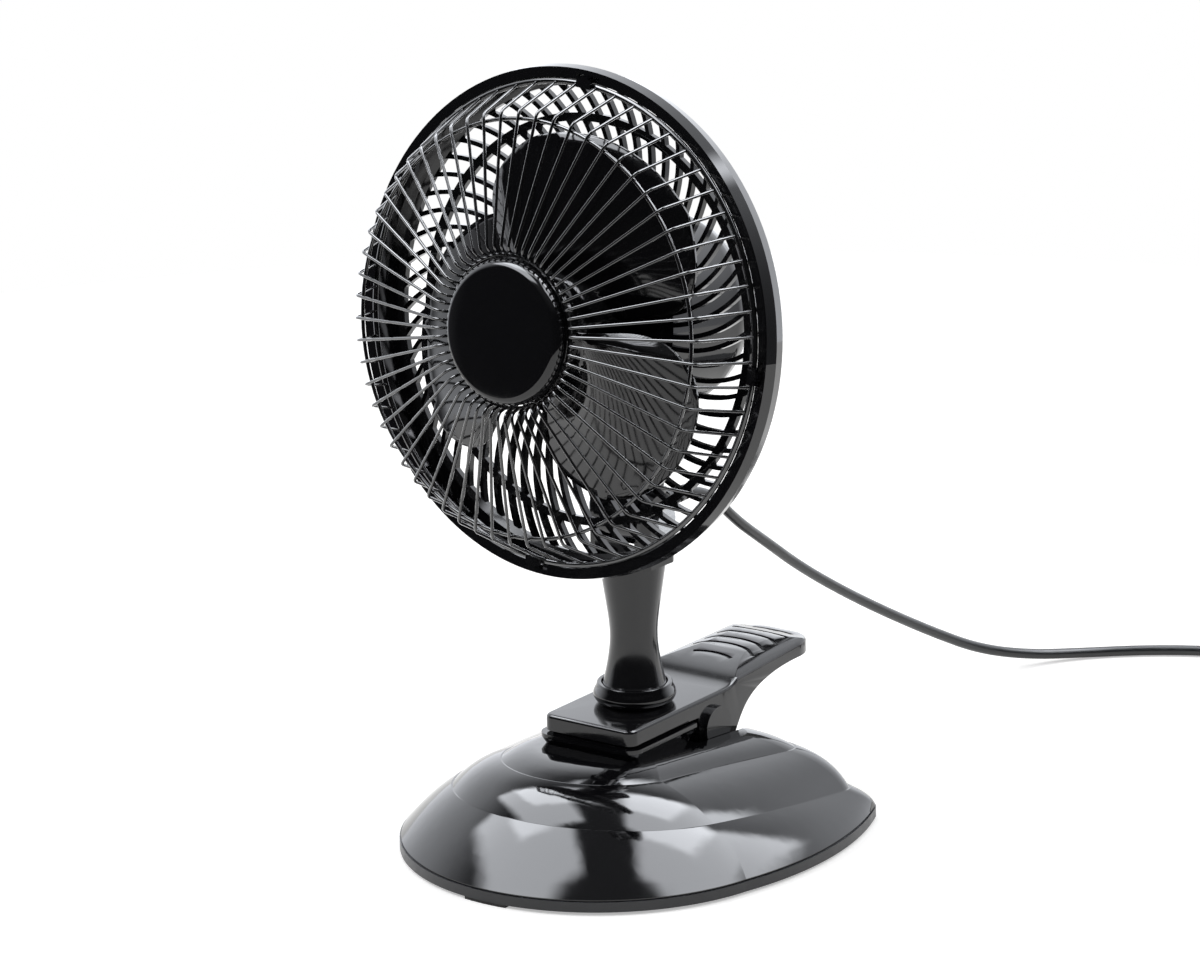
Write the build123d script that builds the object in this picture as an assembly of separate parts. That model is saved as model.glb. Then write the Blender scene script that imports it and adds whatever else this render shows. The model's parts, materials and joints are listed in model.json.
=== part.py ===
from build123d import *

import math
import os

# Clip fan. Millimetres, Z up. The origin lies on the table, under the neck's axis.
# The fan blows towards -Y and the clip's handle points to +Y.

# ---------------------------------------------------------------- driving sizes
# Base
FOOT_HEIGHT = 1.2
COVER_TOP = 5.0
COVER_FLOOR = 2.2
SHELL_WALL = 2.6
REVEAL = 0.7
RIM_FRONT = 95.3
RIM_HALF_WIDTH = 78.8
RIM_CORNER = (66.5, 60.0)
RIM_BACK = 66.0
WIDEST_Y = -10.0
CORNER_RADIUS = 9.0
TIER_STEP = 0.6
TIER_TILT = 5.6
CROWN_TILT = 5.0
LOWER_MID = (86.0, 71.0, (66.8, 56.5), 64.0)
LOWER_TIER = (75.5, 59.8, (64.0, 50.5), 59.5)
UPPER_MID = (69.0, 49.8, (56.5, 50.0), 57.0)
UPPER_TIER = (60.0, 36.5, (44.5, 46.0), 51.0)
CROWN_MID = (52.0, 31.5, (37.5, 42.0), 46.0)
CROWN = (42.0, 25.5, (29.0, 35.0), 38.5)
LOWER_MID_Z = 11.8
LOWER_TIER_Z = 18.7
UPPER_MID_Z = 25.6
UPPER_TIER_Z = 31.3
CROWN_MID_Z = 34.2
CROWN_Z = 36.0
DOME_TOP = 40.0
SCREW_POSTS = ((40.0, -42.0), (-40.0, -42.0), (44.0, 26.0), (-44.0, 26.0))
POST_RADIUS = 4.0
SCREW_RADIUS = 1.4
SCREW_HEAD_RADIUS = 2.8
SCREW_HEAD_HEIGHT = 1.6
SCREW_DEPTH = 9.0
FOOT_SPOTS = ((0.0, 0.0), (60.0, -22.0), (-60.0, -22.0), (50.0, 44.0), (-50.0, 44.0))
FOOT_RADIUS = 6.0
TAB_HALF_WIDTH = 9.0
TAB_DEPTH = 11.0
BALLAST_SIZE = (70.0, 60.0, 5.0)
BALLAST_Y = -16.0

# Clip hinge and jaw
PIVOT_Y = 21.9
PIVOT_Z = 37.5
PIN_RADIUS = 3.0
RUNNING = 0.05
JAW_HALF_WIDTH = 20.0
JAW_FRONT = 30.3
JAW_BACK = 8.0
JAW_GAP = 0.3
JAW_CORNER_RADIUS = 4.0
LOWER_PAD_TOP = 43.2
LOWER_PAD_THICK = 3.8
PAD_INSET = 2.4
PLATE_UNDER = 46.2
PLATE_TOP = 49.8
SKIRT_UNDER = 43.9
SKIRT_BACK = -2.0
FLANGE_TOP = 42.9
FLANGE_THICK = 1.5
FLANGE_REACH = 2.0
PEDESTAL_FOOT = 35.0
CHANNEL_HALF_WIDTH = 22.6
CHANNEL_FLOOR = 14.5
EAR_INSIDE = 13.0
EAR_OUTSIDE = 16.4
EAR_RADIUS = 6.5

# Arm
ARM_WALL = 2.6
ARM_END = 98.0
ARM_END_HALF_WIDTH = 17.5
ARM_WAIST_Y = 30.0
ARM_CROWN = 55.6
ARM_CROWN_RADIUS = 46.0
ARM_EDGE_RADIUS = 1.4
ARM_TOP = (
    (26.0, 49.8),
    (37.0, 51.4),
    (50.0, 53.9),
    (66.0, 54.8),
    (82.0, 53.8),
    (93.0, 51.4),
    (98.0, 49.3),
)
ARM_TIP = ((98.0, 49.3), (98.4, 47.9), (96.5, 46.9))
ARM_UNDER = ((33.5, 27.0), (37.2, 33.0), (44.4, 40.6), (56.5, 45.4), (72.0, 47.2), (96.5, 46.9))
ARM_WEB_FRONT = ((12.0, 43.4), (13.4, 33.0))
ARM_WEB_FOOT = ((13.4, 33.0), (22.5, 25.6), (33.5, 27.0))
BOSS_RADIUS = 7.8
BOSS_REACH = 22.2
GROOVE_WIDTH = 1.7
GROOVE_DEPTH = 0.8
GROOVES = (
    (50.5, 8.5, 2.0),
    (59.0, 13.5, 5.0),
    (66.0, 13.5, 4.0),
    (74.0, 13.5, 3.5),
    (82.0, 12.5, 2.5),
    (90.0, 9.0, 2.0),
)

# Clip spring
SPRING_WIRE = 1.8
SPRING_RADIUS = 8.5
SPRING_TURNS = 4.5
SPRING_PITCH = 4.4
SPRING_LEG = 22.0

# Collar and neck
COLLAR_RIM_Z = 57.8
COLLAR_RIM_RADIUS = 13.5
COLLAR_BELLY_RADIUS = 15.2
COLLAR_BORE = 12.2
NECK_FOOT_RADIUS = 11.8
NECK_WALL = 2.4
NECK_GAP = 0.3
NECK_FLOOR = 5.0
NECK_PROFILE = ((58.0, 11.5), (67.0, 9.6), (75.0, 8.8), (88.0, 10.0), (105.0, 12.6), (113.0, 14.0))
TILT_PIVOT_Z = 122.0
CHEEK_RADIUS = 9.6
CHEEK_OUTSIDE = 13.8
CHEEK_INSIDE = 9.3
SLOT_FLOOR = 104.0
SWIVEL_SHANK = 4.0
SWIVEL_HEAD_RADIUS = 6.5
SWIVEL_HEAD_HEIGHT = 1.5
WASHER_THICK = 0.8
SWIVEL_POCKET_RADIUS = 8.6
TILT_BOLT_RADIUS = 2.5
TILT_HEAD_RADIUS = 5.0
TILT_HEAD_HEIGHT = 2.6

# Head, in its own frame: the tilt axis is X through the origin and the air blows to -Y.
REST_PAN = -3.0
REST_TILT = 7.5
RING_Y = -48.2
AXIS_Z = 74.8
RING_RADIUS = 92.0
RING_BULGE = 0.6
RING_DEPTH = 16.0
RING_WALL = 2.0
LIP_WIDTH = 3.8
LIP_THICK = 1.8
RIBS = 60
RIB_WIDTH = 1.7
RIB_DEPTH = 2.4
RIB_START_RADIUS = 36.0
RIB_CURVE_RADIUS = 50.0
RIB_OVERLAP = 1.2
INNER_EDGE_INSET = 7.5
MID_RIB_RING = 73.0
MID_RIB_RING_WIDTH = 3.0
HUB_PLATE_RADIUS = 40.0
CLIP_TABS = 4
TAB_WIDTH = 6.5
WINDOW_WIDTH = 3.6
WINDOW_OFFSET = 3.4

# Front guard
WIRES = 60
WIRE = 1.15
WIRE_RING = 2.2
WIRE_RING_GAP = 0.3
HUB_RING_RADIUS = 27.4
KINK_RADIUS = 32.0
KINK_AHEAD = 33.0
MID_RING_RADIUS = 75.0
MID_RING_AHEAD = 21.3
CAP_RADIUS = 26.0
CAP_AHEAD = 33.5

# Motor housing
HOUSING_RADIUS = 36.0
HOUSING_WALL = 2.2
HOUSING_SPLIT_Y = -18.0
HOUSING_BACK_Y = 19.5
KNUCKLE_RADIUS = 11.0
KNUCKLE_HALF_WIDTH = 9.0
STALK_HALF_WIDTH = 13.0
STALK_DEPTH = 26.0
VENTS = 12
HOUSING_SCREWS = 3
HOUSING_SCREW_RING = 22.0
HOUSING_SCREW_LENGTH = 7.0

# Motor
SHAFT_RADIUS = 3.0
BEARING_RADIUS = 7.0
BEARING_LENGTH = 5.0
STATOR_RADIUS = 27.0
ROTOR_RADIUS = 14.6
AIR_GAP = 0.5
STACK_FRONT_Y = -20.0
STACK_BACK_Y = -1.0
COIL_HEAD = 5.0
BRACKET_WALL = 1.8

# Fan
BLADES = 3
BLADE_TIP = 70.0
BLADE_SPAN = 120.0
BLADE_RISE = 24.0
BLADE_FRONT = 14.0
BLADE_THICK = 1.7
BLADE_REST_TURN = 6.0
BLADE_BACK_EDGE = ((15.0, 3.0), (35.0, 4.0), (48.0, 9.5), (55.0, 19.0), (60.0, 29.5), (64.5, 39.0))
BLADE_TIP_ARC = ((64.5, 39.0), (68.0, 60.0), (68.0, 95.0))
BLADE_FRONT_EDGE = (
    (68.0, 95.0),
    (65.0, 103.5),
    (60.0, 110.5),
    (54.0, 115.5),
    (47.0, 118.5),
    (36.0, 119.5),
    (15.0, 118.5),
)
HUB_RADIUS = 18.0
HUB_FRONT = 20.0
HUB_BACK = -9.5

# Switch
KNOB_RADIUS = 9.0
KNOB_HEIGHT = 7.0
SWITCH_BODY = 16.0
SWITCH_DEPTH = 6.0
SWITCH_STEM = 2.5

# Cord
CORD_RADIUS = 2.0
RELIEF_START = 12.2
RELIEF_END = 30.0
RELIEF_RADIUS = 3.6
COIL_CENTRE = (128.0, 268.0)
COIL_MID_RADIUS = 23.0
COIL_HALF_WIDTH = 6.3
COIL_HEIGHT = 12.0
PLUG_LENGTH = 35.0
PLUG_WIDTH = 35.0
PLUG_THICK = 13.7
PLUG_PIN_RADIUS = 2.0
PLUG_PIN_LENGTH = 19.0
PLUG_PIN_SPACING = 18.6
PLUG_RELIEF = 20.0

# ---------------------------------------------------------------- worked out
RING_BACK_Y = RING_Y + RING_DEPTH
WIRE_RING_RADIUS = RING_RADIUS - LIP_WIDTH - WIRE_RING / 2 - WIRE_RING_GAP
FAN_AXIS = Axis((0, 0, AXIS_Z), (0, 1, 0))
RIM = (RIM_FRONT, RIM_HALF_WIDTH, RIM_CORNER, RIM_BACK)
UPPER_PAD_UNDER = LOWER_PAD_TOP + JAW_GAP
HEAD_FRAME = Pos(0, 0, TILT_PIVOT_Z) * Rot(Z=REST_PAN) * Rot(X=-REST_TILT)
PAN_FRAME = Rot(Z=REST_PAN)
PLUG_AXIS_Z = PLUG_THICK / 2


# ---------------------------------------------------------------- helpers
def save(shape, name):
    """Writes one sub-part."""
    shape.label = name
    export_step(shape, os.path.join("parts", name + ".step"))


def disc(radius, low, high):
    """A cylinder on the Z axis from one height to another."""
    return Pos(0, 0, low) * Cylinder(radius, high - low, align=(Align.CENTER, Align.CENTER, Align.MIN))


def rod_x(radius, low, high, y=0.0, z=0.0):
    """A cylinder along X."""
    return Pos(low, y, z) * Rot(Y=90) * Cylinder(
        radius, high - low, align=(Align.CENTER, Align.CENTER, Align.MIN)
    )


def block(x, y, z):
    """A box from three (low, high) pairs."""
    size = (x[1] - x[0], y[1] - y[0], z[1] - z[0])
    return Pos(x[0], y[0], z[0]) * Box(*size, align=(Align.MIN, Align.MIN, Align.MIN))


def spun(points):
    """A solid of revolution about Z from (radius, height) corners."""
    face = make_face(Plane.XZ * Polyline(*points, close=True))
    return revolve(face, Axis.Z)


def head_spun(points):
    """A solid of revolution about the fan's axis from (radius, y) corners in the head's frame."""
    face = make_face(Plane.XY * Polyline(*points, close=True))
    return Pos(0, 0, AXIS_Z) * revolve(face, Axis.Y)


def ahead(distance):
    """The head-frame y of a plane that lies this far ahead of the ring's front."""
    return RING_Y - distance


def around_fan(shape, count):
    """Copies of a head-frame shape evenly spaced about the fan's axis."""
    return [shape.rotate(FAN_AXIS, i * 360 / count) for i in range(count)]


def polar(radius, degrees):
    """A point in the plane from its distance and direction."""
    return (radius * math.cos(math.radians(degrees)), radius * math.sin(math.radians(degrees)))


# ---------------------------------------------------------------- base
def shield(front, half_width, corner, back, inset=0.0):
    """The base's outline at one level: round front, bowed sides and a gently bowed back."""
    reach = front - inset
    width = half_width - inset
    corner_x = corner[0] - inset
    corner_y = corner[1] - inset
    nose = 0.957 * width
    turn = math.radians(78)
    nose_y = -reach + nose
    side = (nose * math.sin(turn), nose_y - nose * math.cos(turn))
    outline = Curve() + [
        ThreePointArc((-side[0], side[1]), (0, -reach), side),
        ThreePointArc(side, (width, WIDEST_Y), (corner_x, corner_y)),
        ThreePointArc((corner_x, corner_y), (0, back - inset), (-corner_x, corner_y)),
        ThreePointArc((-corner_x, corner_y), (-width, WIDEST_Y), (-side[0], side[1])),
    ]
    face = make_face(outline)
    back_corners = face.vertices().filter_by(lambda v: v.Y > WIDEST_Y + 1)
    return fillet(back_corners, CORNER_RADIUS - inset / 2)


def level(height, tilt, *outline, inset=0.0):
    """One outline of the dome, on a plane that drops towards the back."""
    lean = math.radians(tilt)
    plane = Plane((0, 0, height), x_dir=(1, 0, 0), z_dir=(0, math.sin(lean), math.cos(lean)))
    return plane * shield(*outline, inset=inset)


def tier_step(outline, step):
    """The same outline drawn in by the width of the tier's step."""
    front, half_width, corner, back = outline
    return (front - step, half_width - step, (corner[0] - step, corner[1] - step), back - step)


def dome(inset, drop):
    """The three-tier dome, drawn in by inset and lowered by drop for its inner surface."""
    half_tilt = TIER_TILT / 2
    upper_foot = tier_step(LOWER_TIER, TIER_STEP)
    crown_foot = tier_step(UPPER_TIER, TIER_STEP)
    skirt = loft([
        level(COVER_TOP, 0, *RIM, inset=inset),
        level(LOWER_MID_Z - drop / 2, half_tilt, *LOWER_MID, inset=inset),
        level(LOWER_TIER_Z - drop, TIER_TILT, *LOWER_TIER, inset=inset),
    ])
    waist = loft([
        level(LOWER_TIER_Z - drop, TIER_TILT, *upper_foot, inset=inset),
        level(UPPER_MID_Z - drop, TIER_TILT, *UPPER_MID, inset=inset),
        level(UPPER_TIER_Z - drop, TIER_TILT, *UPPER_TIER, inset=inset),
    ])
    crown = loft([
        level(UPPER_TIER_Z - drop, TIER_TILT, *crown_foot, inset=inset),
        level(CROWN_MID_Z - drop, TIER_TILT, *CROWN_MID, inset=inset),
        level(CROWN_Z - drop, CROWN_TILT, *CROWN, inset=inset),
    ])
    return skirt + waist + crown


def jaw_outline(grow=0.0, back=JAW_BACK):
    """The jaw's plan: a rectangle with its two front corners rounded."""
    half = JAW_HALF_WIDTH + grow
    front = JAW_FRONT + grow
    face = make_face(Polyline((-half, -front), (half, -front), (half, back), (-half, back), close=True))
    corners = face.vertices().filter_by(lambda v: v.Y < 0)
    return fillet(corners, JAW_CORNER_RADIUS + grow)


def base_shell():
    """The domed moulding with the jaw's seat, the clip's channel and the hinge's two ears."""
    outer = dome(0.0, 0.0)
    hollow = dome(SHELL_WALL, SHELL_WALL)
    posts = [Pos(x, y, 0) * disc(POST_RADIUS, COVER_FLOOR + FOOT_HEIGHT, DOME_TOP) for x, y in SCREW_POSTS]
    wall = SHELL_WALL
    tub = block(
        (-CHANNEL_HALF_WIDTH - wall, CHANNEL_HALF_WIDTH + wall),
        (JAW_BACK - wall, RIM_BACK + wall),
        (CHANNEL_FLOOR - wall, DOME_TOP),
    )
    flange_under = FLANGE_TOP - FLANGE_THICK
    seat_floor = LOWER_PAD_TOP - LOWER_PAD_THICK
    slope = loft([
        Pos(0, 0, PEDESTAL_FOOT) * jaw_outline(-FLANGE_REACH),
        Pos(0, 0, flange_under) * jaw_outline(FLANGE_REACH),
    ])
    pedestal = slope + extrude(Pos(0, 0, flange_under) * jaw_outline(FLANGE_REACH), FLANGE_THICK)
    seat_block = extrude(Pos(0, 0, PEDESTAL_FOOT - 2 * wall) * jaw_outline(-FLANGE_REACH), DOME_TOP)
    inside = hollow - posts - tub - seat_block
    shell = outer - inside + pedestal
    channel = block(
        (-CHANNEL_HALF_WIDTH, CHANNEL_HALF_WIDTH),
        (JAW_BACK, RIM_BACK + wall),
        (CHANNEL_FLOOR, DOME_TOP + wall),
    )
    seat = extrude(Pos(0, 0, seat_floor) * jaw_outline(JAW_GAP - PAD_INSET, JAW_BACK + 1), DOME_TOP)
    shell = shell - channel - seat
    ledge_top = PIVOT_Z - SPRING_RADIUS - SPRING_WIRE / 2 - JAW_GAP
    ledge_y = (JAW_BACK, PIVOT_Y + SPRING_LEG)
    hinge = block((-EAR_OUTSIDE, EAR_OUTSIDE), ledge_y, (CHANNEL_FLOOR - wall, ledge_top))
    for side in (-1, 1):
        low, high = sorted((side * EAR_INSIDE, side * EAR_OUTSIDE))
        hinge += rod_x(EAR_RADIUS, low, high, PIVOT_Y, PIVOT_Z)
        hinge += block((low, high), (PIVOT_Y - EAR_RADIUS, PIVOT_Y + EAR_RADIUS), (CHANNEL_FLOOR, PIVOT_Z))
    shell += hinge
    shell -= rod_x(PIN_RADIUS, -EAR_OUTSIDE - 1, EAR_OUTSIDE + 1, PIVOT_Y, PIVOT_Z)
    reveal = extrude(Pos(0, 0, COVER_TOP) * shield(*RIM), REVEAL)
    reveal -= extrude(Pos(0, 0, COVER_TOP) * shield(*RIM, inset=REVEAL), REVEAL)
    shell -= reveal
    for x, y in SCREW_POSTS:
        shell += Pos(x, y, 0) * disc(POST_RADIUS, COVER_FLOOR + FOOT_HEIGHT, COVER_TOP + POST_RADIUS)
        shell -= Pos(x, y, 0) * disc(SCREW_RADIUS, 0, COVER_FLOOR + FOOT_HEIGHT + SCREW_DEPTH)
    return shell


def base_cover():
    """The tray that closes the base from below and makes its satin rim."""
    tray = extrude(Pos(0, 0, FOOT_HEIGHT) * shield(*RIM), COVER_TOP - FOOT_HEIGHT)
    tray -= extrude(Pos(0, 0, FOOT_HEIGHT + COVER_FLOOR) * shield(*RIM, inset=SHELL_WALL), COVER_TOP)
    for x, y in SCREW_POSTS:
        tray -= Pos(x, y, 0) * disc(SCREW_RADIUS + RUNNING, 0, COVER_TOP)
        tray -= Pos(x, y, 0) * disc(SCREW_HEAD_RADIUS + RUNNING, 0, FOOT_HEIGHT + SCREW_HEAD_HEIGHT)
    return tray


def cover_screws():
    """Four countersunk screws that hold the cover to the shell's posts."""
    screw = disc(SCREW_HEAD_RADIUS, FOOT_HEIGHT + 0.2, FOOT_HEIGHT + SCREW_HEAD_HEIGHT)
    screw += disc(SCREW_RADIUS, FOOT_HEIGHT + 0.2, FOOT_HEIGHT + COVER_FLOOR + SCREW_DEPTH - 1)
    return Compound(children=[Pos(x, y, 0) * screw for x, y in SCREW_POSTS])


def base_feet():
    """Round rubber pads, one of them at the middle, and the tab under the rim's nose."""
    pads = [Pos(x, y, 0) * disc(FOOT_RADIUS, 0, FOOT_HEIGHT) for x, y in FOOT_SPOTS]
    nose = block((-TAB_HALF_WIDTH, TAB_HALF_WIDTH), (-RIM_FRONT, TAB_DEPTH - RIM_FRONT), (0, FOOT_HEIGHT))
    nose = nose & extrude(shield(*RIM, inset=0.4), FOOT_HEIGHT)
    return Compound(children=pads + [nose.solid()])


def ballast_plate():
    """The steel weight on the cover's floor."""
    plate = fillet(Rectangle(BALLAST_SIZE[0], BALLAST_SIZE[1]).vertices(), CORNER_RADIUS)
    return extrude(Pos(0, BALLAST_Y, FOOT_HEIGHT + COVER_FLOOR) * plate, BALLAST_SIZE[2])


def lower_jaw_pad():
    """The rubber pad in the base's seat."""
    under = LOWER_PAD_TOP - LOWER_PAD_THICK
    return extrude(Pos(0, 0, under) * jaw_outline(-PAD_INSET, JAW_BACK - JAW_GAP), LOWER_PAD_THICK)


# ---------------------------------------------------------------- clip
def pivot_pin():
    """The hinge pin through the base's ears and the arm's webs."""
    reach = BOSS_REACH - 1.2
    return rod_x(PIN_RADIUS, -reach, reach, PIVOT_Y, PIVOT_Z)


def clip_spring():
    """A torsion spring about the pin, with one leg under the handle and one on the base."""
    length = SPRING_TURNS * SPRING_PITCH
    path = Helix(SPRING_PITCH, length, SPRING_RADIUS)
    section = Plane(path @ 0, z_dir=path % 0) * Rectangle(SPRING_WIRE, SPRING_WIRE)
    coil = sweep(section, path, is_frenet=True)
    leg = Rot(X=90) * Cylinder(SPRING_WIRE / 2, SPRING_LEG, align=(Align.CENTER, Align.CENTER, Align.MIN))
    spring = coil + Pos(SPRING_RADIUS, 0, 0) * leg + Pos(-SPRING_RADIUS, 0, length) * leg
    return Pos(length / 2, PIVOT_Y, PIVOT_Z) * Rot(Z=180) * Rot(Y=90) * spring


def arm_side():
    """The arm's side view in the YZ plane: flat plate, webs round the pin and raised handle."""
    outline = Curve() + [
        Polyline(ARM_TOP[0], (-JAW_FRONT, PLATE_TOP), (-JAW_FRONT, SKIRT_UNDER), (SKIRT_BACK, SKIRT_UNDER)),
        Polyline((SKIRT_BACK, SKIRT_UNDER), *ARM_WEB_FRONT),
        ThreePointArc(*ARM_WEB_FOOT),
        Spline(*ARM_UNDER),
        ThreePointArc(*reversed(ARM_TIP)),
        Spline(*reversed(ARM_TOP), tangents=((-0.5, 1), (-1, 0))),
    ]
    return make_face(Plane.YZ * outline)


def arm_plan(inset=0.0):
    """The arm's plan: rounded front corners, slight taper, round end."""
    front = JAW_HALF_WIDTH - inset
    end = ARM_END_HALF_WIDTH - inset
    nose = inset - JAW_FRONT
    round_y = ARM_END - ARM_END_HALF_WIDTH
    outline = Curve() + [
        Polyline((-end, round_y), (-front, ARM_WAIST_Y), (-front, nose), (front, nose)),
        Polyline((front, nose), (front, ARM_WAIST_Y), (end, round_y)),
        ThreePointArc((end, round_y), (0, ARM_END - inset), (-end, round_y)),
    ]
    face = make_face(outline)
    return fillet(face.vertices().filter_by(lambda v: v.Y < 0), JAW_CORNER_RADIUS)


def arm_block(inset, drop):
    """The arm's outer form, or its inside when drawn in and lowered."""
    side = extrude(arm_side(), JAW_HALF_WIDTH + 1, both=True)
    plan = extrude(arm_plan(inset), ARM_CROWN + BOSS_RADIUS)
    crown = Rot(X=90) * Cylinder(ARM_CROWN_RADIUS, 2 * ARM_END)
    crown = Pos(0, ARM_END / 2, ARM_CROWN - ARM_CROWN_RADIUS) * crown
    form = side & plan & crown
    return Pos(0, 0, -drop) * form


def clip_arm():
    """The moulded arm: jaw plate, hollow handle with grip grooves, webs and pin bosses."""
    outer = arm_block(0.0, 0.0)
    lowered = Pos(0, 0, -GROOVE_DEPTH) * outer
    rim = outer.edges().filter_by(lambda e: e.center().Z > PLATE_TOP - ARM_EDGE_RADIUS / 2)
    rim = rim.filter_by(lambda e: abs(e.center().X) > 1 or e.center().Y < 0 or e.center().Y > ARM_END - 1)
    outer = fillet(rim, ARM_EDGE_RADIUS)
    reach = ARM_END - ARM_WALL
    inner_half = EAR_OUTSIDE + 0.5
    room = block((-JAW_HALF_WIDTH, JAW_HALF_WIDTH), (JAW_BACK + 1, reach), (0, PLATE_TOP - ARM_WALL))
    room_top = arm_block(ARM_WALL, ARM_WALL)
    hollow = room & extrude(arm_plan(JAW_HALF_WIDTH - inner_half), PLATE_TOP)
    handle_room = room_top & block((-inner_half, inner_half), (40, reach), (PLATE_UNDER, ARM_CROWN))
    under_plate = extrude(jaw_outline(JAW_GAP - PAD_INSET, JAW_BACK + 2), PLATE_UNDER)
    arm = outer - hollow - handle_room - under_plate
    for y, half, bow in GROOVES:
        line = ThreePointArc((-half, y - bow / 2), (0, y + bow / 2), (half, y - bow / 2))
        cutter = extrude(trace(line, GROOVE_WIDTH), ARM_CROWN + BOSS_RADIUS) - lowered
        arm -= cutter
    for side in (-1, 1):
        low, high = sorted((side * inner_half, side * BOSS_REACH))
        arm += rod_x(BOSS_RADIUS, low, high, PIVOT_Y, PIVOT_Z)
    hole = BOSS_REACH - 1.0
    arm -= rod_x(PIN_RADIUS + RUNNING, -hole, hole, PIVOT_Y, PIVOT_Z)
    arm -= disc(SWIVEL_SHANK + RUNNING, 0, PLATE_TOP + 5)
    return arm


def upper_jaw_pad():
    """The rubber pad under the arm's plate, open where the swivel's screw head sits."""
    plan = Pos(0, 0, UPPER_PAD_UNDER) * jaw_outline(-PAD_INSET, JAW_BACK)
    pad = extrude(plan, PLATE_UNDER - UPPER_PAD_UNDER)
    return pad - disc(SWIVEL_POCKET_RADIUS, 0, PLATE_TOP)


def neck_collar():
    """The bellied ring on the plate, in which the neck turns."""
    ring = spun([
        (COLLAR_BORE, PLATE_TOP), (NECK_FOOT_RADIUS + 1.9, PLATE_TOP),
        (COLLAR_BELLY_RADIUS - 1.2, PLATE_TOP + 1.6),
        (COLLAR_BELLY_RADIUS, PLATE_TOP + 3.4), (COLLAR_BELLY_RADIUS, PLATE_TOP + 4.2),
        (COLLAR_RIM_RADIUS + 0.5, PLATE_TOP + 6.4), (COLLAR_RIM_RADIUS, COLLAR_RIM_Z),
        (COLLAR_BORE, COLLAR_RIM_Z),
    ])
    return ring


# ---------------------------------------------------------------- neck
def neck_body():
    """Both halves of the neck before they are parted: hourglass, cheeks and slot."""
    foot = PLATE_TOP + NECK_GAP
    heights = [z for z, _ in NECK_PROFILE]
    radii = [r for _, r in NECK_PROFILE]
    waist = Spline(*[(r, z) for z, r in NECK_PROFILE])
    foot_rim = [(NECK_FOOT_RADIUS, foot), (NECK_FOOT_RADIUS, heights[0] - 0.5)]
    outline = Curve() + [
        Polyline((0, foot), *foot_rim, (radii[0], heights[0])),
        waist,
        Polyline((radii[-1], heights[-1]), (radii[-1], heights[-1] + 2), (0, heights[-1] + 2), (0, foot)),
    ]
    outer = revolve(make_face(Plane.XZ * outline), Axis.Z)
    cheek = block((-CHEEK_OUTSIDE, CHEEK_OUTSIDE), (-CHEEK_RADIUS, CHEEK_RADIUS), (SLOT_FLOOR, TILT_PIVOT_Z))
    cheek += rod_x(CHEEK_RADIUS, -CHEEK_OUTSIDE, CHEEK_OUTSIDE, 0, TILT_PIVOT_Z)
    cheek = cheek & disc(CHEEK_OUTSIDE + 1.4, SLOT_FLOOR, TILT_PIVOT_Z + CHEEK_RADIUS)
    body = outer + cheek
    inner_waist = [(r - NECK_WALL, z) for z, r in NECK_PROFILE[1:4]]
    bore = spun([
        (0, foot + NECK_FLOOR), (NECK_FOOT_RADIUS - NECK_WALL, foot + NECK_FLOOR),
        *inner_waist, (CHEEK_INSIDE, SLOT_FLOOR), (0, SLOT_FLOOR),
    ])
    slot = block((-CHEEK_INSIDE, CHEEK_INSIDE), (-20, 20), (SLOT_FLOOR, TILT_PIVOT_Z + 20))
    body = body - bore - slot
    body -= disc(SWIVEL_SHANK, 0, foot + NECK_FLOOR + 1)
    body -= rod_x(TILT_BOLT_RADIUS, -CHEEK_OUTSIDE - 1, CHEEK_OUTSIDE + 1, 0, TILT_PIVOT_Z)
    return body


def neck_half(front):
    """The front or the rear half of the neck."""
    y = (-30, 0) if front else (0, 30)
    return PAN_FRAME * (neck_body() & block((-30, 30), y, (0, TILT_PIVOT_Z + 30)))


def swivel_screw():
    """The shouldered screw from below that the neck turns on."""
    washer_under = PLATE_UNDER - WASHER_THICK - 0.1
    screw = disc(SWIVEL_HEAD_RADIUS, washer_under - SWIVEL_HEAD_HEIGHT, washer_under)
    screw += disc(SWIVEL_SHANK, washer_under - 0.5, PLATE_TOP + NECK_GAP + NECK_FLOOR)
    return screw


def swivel_washer():
    """The spring washer between the screw's head and the plate."""
    under = PLATE_UNDER - WASHER_THICK - 0.1
    return disc(SWIVEL_HEAD_RADIUS + 1.3, under, under + WASHER_THICK) - disc(SWIVEL_SHANK, 0, PLATE_TOP)


def tilt_bolt():
    """The bolt across the cheeks, with its round head."""
    shank = rod_x(TILT_BOLT_RADIUS, -CHEEK_OUTSIDE - TILT_HEAD_HEIGHT, CHEEK_OUTSIDE + 0.1, 0, TILT_PIVOT_Z)
    head = rod_x(TILT_HEAD_RADIUS, CHEEK_OUTSIDE, CHEEK_OUTSIDE + TILT_HEAD_HEIGHT, 0, TILT_PIVOT_Z)
    return PAN_FRAME * (shank + head)


def tilt_nut():
    """The hexagon nut on the bolt's far end."""
    across = RegularPolygon(TILT_HEAD_RADIUS, 6)
    nut = extrude(across, TILT_HEAD_HEIGHT)
    nut -= Cylinder(TILT_BOLT_RADIUS, 20)
    return PAN_FRAME * Pos(-CHEEK_OUTSIDE, 0, TILT_PIVOT_Z) * Rot(Y=-90) * nut


# ---------------------------------------------------------------- guards
def rib_path(reach):
    """The arc of one spiral rib, from the hub plate to a given distance from the axis."""
    start = RIB_START_RADIUS
    curve = RIB_CURVE_RADIUS
    across = 2 * start * curve
    along = 2 * curve**2
    turn = math.atan2(along, across)
    sweep_end = turn + math.asin((reach**2 - start**2 - along) / math.hypot(across, along))
    points = []
    for angle in (0, sweep_end / 2, sweep_end):
        points.append((start + curve * math.sin(angle), curve * (1 - math.cos(angle))))
    return ThreePointArc(*points)


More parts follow.
